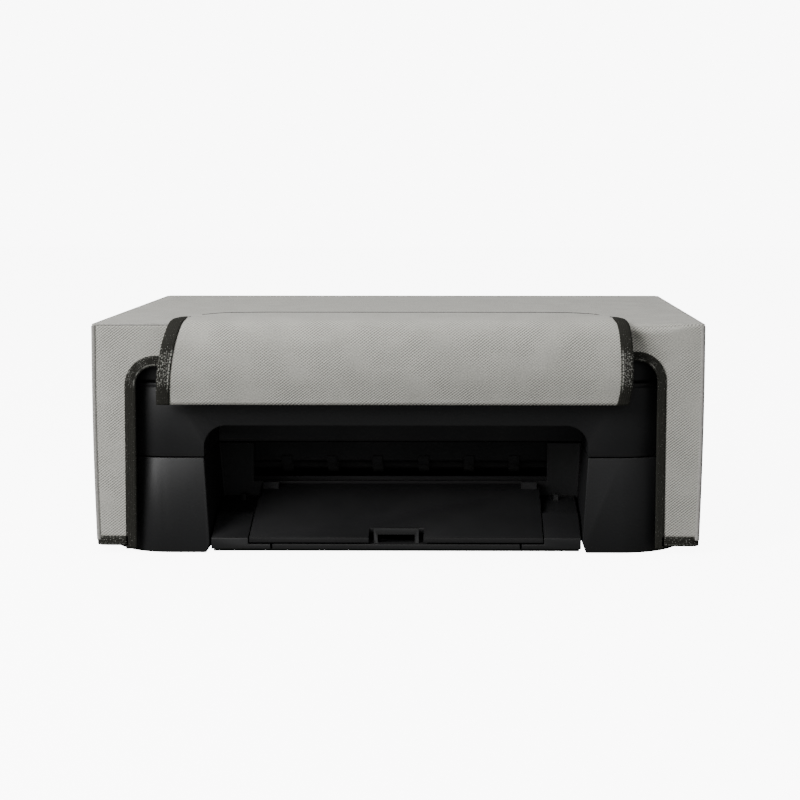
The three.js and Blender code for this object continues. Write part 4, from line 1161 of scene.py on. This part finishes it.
def twill(name, dark, light):
    """Twill cloth with a darker and a lighter thread."""
    made, tree, shader = fresh(name, CLOTH_ROUGH, specular=CLOTH_SPECULAR)
    shader.inputs["Sheen Weight"].default_value = CLOTH_SHEEN
    shader.inputs["Sheen Roughness"].default_value = 0.5
    woven = put(tree, weave)
    tree.links.new(cloth_place(tree), woven.inputs["Vector"])
    slow = ranged(tree, woven.outputs["Melange"], -0.1, 0.1)
    mottled = maths(tree, "ADD", woven.outputs["Shade"], slow)
    blend_colours(tree, mottled, dark, light, shader.inputs["Base Color"])
    bumped(tree, shader, woven.outputs["Height"], 0.45, WEAVE_DEEP)
    return made


finishes["cover_fabric"] = twill("cover_fabric", (0.235, 0.231, 0.208), (0.60, 0.591, 0.540))
print("cloth:", finishes["cover_fabric"].name)

# %% [markdown]
# The binding tape is nearly black and woven in small squares. Where it was pulled round a bend its
# pale stitches and fibres show through. Two masks make them: specks that pass a threshold, which
# the bend attribute lowers, and a line of dashes near one edge. The larger of the two wins.

# %% Stitch masks
RIB_PERIOD = 1.1 * mm
SPECK_SCALE, SPECK_LEVEL, BEND_LIFT = 900.0, 0.68, 0.13
STITCH_LINE, STITCH_STEP, STITCH_HALF = 1.5 * mm, 2.6 * mm, 0.4 * mm
STITCH_SHARE, STITCH_CLEAR = 0.68, 0.85
tape, tree, shader = fresh("binding_tape", 0.8, specular=0.3)
place = cloth_place(tree)
ribs = bands(tree, place, 0, stripe_scale(RIB_PERIOD), 0.5)
cross = bands(tree, place, math.pi / 2, stripe_scale(RIB_PERIOD * 1.2), 0.3)
knit = product(tree, ribs, cross)
bend_node = tree.nodes.new("ShaderNodeAttribute")
bend_node.attribute_name = "bend"
bend = bend_node.outputs["Fac"]
specks = maths(tree, "ADD", noise_of(tree, place, SPECK_SCALE, 2), product(tree, bend, BEND_LIFT))
shown = maths(tree, "GREATER_THAN", specks, SPECK_LEVEL)
speckled = product(tree, shown, maths(tree, "ADD", knit, 0.2), clamp=True)
split = tree.nodes.new("ShaderNodeSeparateXYZ")
tree.links.new(place, split.inputs[0])
from_line = maths(tree, "ABSOLUTE", maths(tree, "SUBTRACT", split.outputs["Y"], STITCH_LINE))
on_line = maths(tree, "LESS_THAN", from_line, STITCH_HALF)
along = maths(tree, "FRACT", maths(tree, "DIVIDE", split.outputs["X"], STITCH_STEP))
dash = maths(tree, "LESS_THAN", along, STITCH_SHARE)
stitches = product(tree, product(tree, on_line, dash), product(tree, bend, STITCH_CLEAR))
speckled = maths(tree, "MAXIMUM", speckled, stitches, clamp=True)
print("stitches: one every", STITCH_STEP, "m")

# %% [markdown]
# The knit gives the tape its two near blacks, and the pale thread lies over them where the masks
# let it show.

# %% Binding tape
KNIT_DEEP = 0.3 * mm
TAPE_DARK, TAPE_LIGHT = (0.009, 0.009, 0.0062), (0.025, 0.0243, 0.018)
THREAD_PALE = (0.34, 0.34, 0.31, 1)
cloth_colour = blend_colours(tree, knit, TAPE_DARK, TAPE_LIGHT, shader.inputs["Base Color"])
stitched = tree.nodes.new("ShaderNodeMix")
stitched.data_type = "RGBA"
stitched.inputs["B"].default_value = THREAD_PALE
tree.links.new(speckled, stitched.inputs["Factor"])
tree.links.new(cloth_colour.outputs["Result"], stitched.inputs["A"])
tree.links.new(stitched.outputs["Result"], shader.inputs["Base Color"])
bumped(tree, shader, knit, 0.6, KNIT_DEEP)
finishes["binding_tape"] = tape
print("tape:", tape.name)

# %% [markdown]
# The seam rolls are the same cloth folded tight. A roll has no flat place of its own, so its
# threads are a fine noise on Object coordinates, in greys a little darker than the panels.

# %% Seam cloth
seam_cloth, tree, shader = fresh("seam_cloth", 0.9)
threads = noise_of(tree, object_place(tree), 900.0, 2)
blend_colours(tree, threads, (0.2, 0.195, 0.18), (0.5, 0.49, 0.46), shader.inputs["Base Color"])
bumped(tree, shader, threads, 0.5, 0.2 * mm)
print("finishes:", len(finishes) + 1)

# %% [markdown]
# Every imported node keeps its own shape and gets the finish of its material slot. That also covers
# the pieces inside the printer, which come into view when the cover and the scanner are opened.

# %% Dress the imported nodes
slots = {part["node"]: part["material_slot"] for part in frame["record"]["subparts"]}
for node, shown_node in nodes.items():
    shown_node.data.materials.clear()
    shown_node.data.materials.append(finishes[slots[node]])
print("dressed nodes:", len(nodes))

# %% [markdown]
# The cover's panels and tapes, apart from the flap's tapes, ride on the cover's body and stand for
# the plain solids of the packed model. A table lists each panel's flat size, but the loop over it
# only reads it back and declares nothing. The top is stretched, and the others hang from it.

# %% Dress the cover
STANDS_FOR = {"opening_tape": "front_binding", "hem_tape": "hem_binding"}
for where in ("top", "left", "right", "back", "front"):
    STANDS_FOR[f"cover_{where}_cloth"] = f"cover_{where}"
ARCH_WIDE = HALF_WIDTH - OPENING_HALF + TAPE_WIDE
FLAT_SIZES = {
    "cover_top_cloth": (2 * HALF_WIDTH, BACK - FRONT),
    "cover_left_cloth": (BACK - FRONT, TOP - FOOT),
    "cover_right_cloth": (BACK - FRONT, TOP - FOOT),
    "cover_back_cloth": (2 * HALF_WIDTH, TOP - FOOT),
    "cover_front_cloth": (ARCH_WIDE, 2 * (HALF_WIDTH + TOP - FOOT)),
}
for name, (piece, area) in panels.items():
    slot_name = "binding_tape" if "tape" in name else "cover_fabric"
    piece.data.materials.append(finishes[slot_name])
    if not name.startswith("flap"):
        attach(piece, "dust_cover")
    if name in STANDS_FOR:
        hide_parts(STANDS_FOR[name])
for name, (width, length) in FLAT_SIZES.items():
    piece, area = panels[name]
print("dressed panels and tapes:", len(panels))

# %% [markdown]
# The flap is sewn to the top along its rear edge, so a stiff turn would tear it there. The flap, its
# tapes and its crest line only have their places baked into their meshes, and they ride on no body.

# %% Dress the flap
flap.data.materials.append(finishes["cover_fabric"])
# the crest line's dark finish is painted shadow for the gap behind the flap's crest
crest_shadow_line.data.materials.append(finishes["rubber_black"])
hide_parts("flap")
trims = [crest_shadow_line, panels["flap_tape_left"][0], panels["flap_tape_right"][0]]
for piece in (flap, *trims):
    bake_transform(piece)

# %% [markdown]
# The rolls ride with the cover. The moulded copies already ride on the bodies of their nodes, so
# they only need their finishes.

# %% Dress the rolls and the casings
for roll in rolls:
    roll.data.materials.append(seam_cloth)
    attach(roll, "dust_cover")
for node, (piece, slot_name) in mouldings.items():
    piece.data.materials.append(finishes[slot_name])
print("dressed rolls and casings:", len(rolls) + len(mouldings))
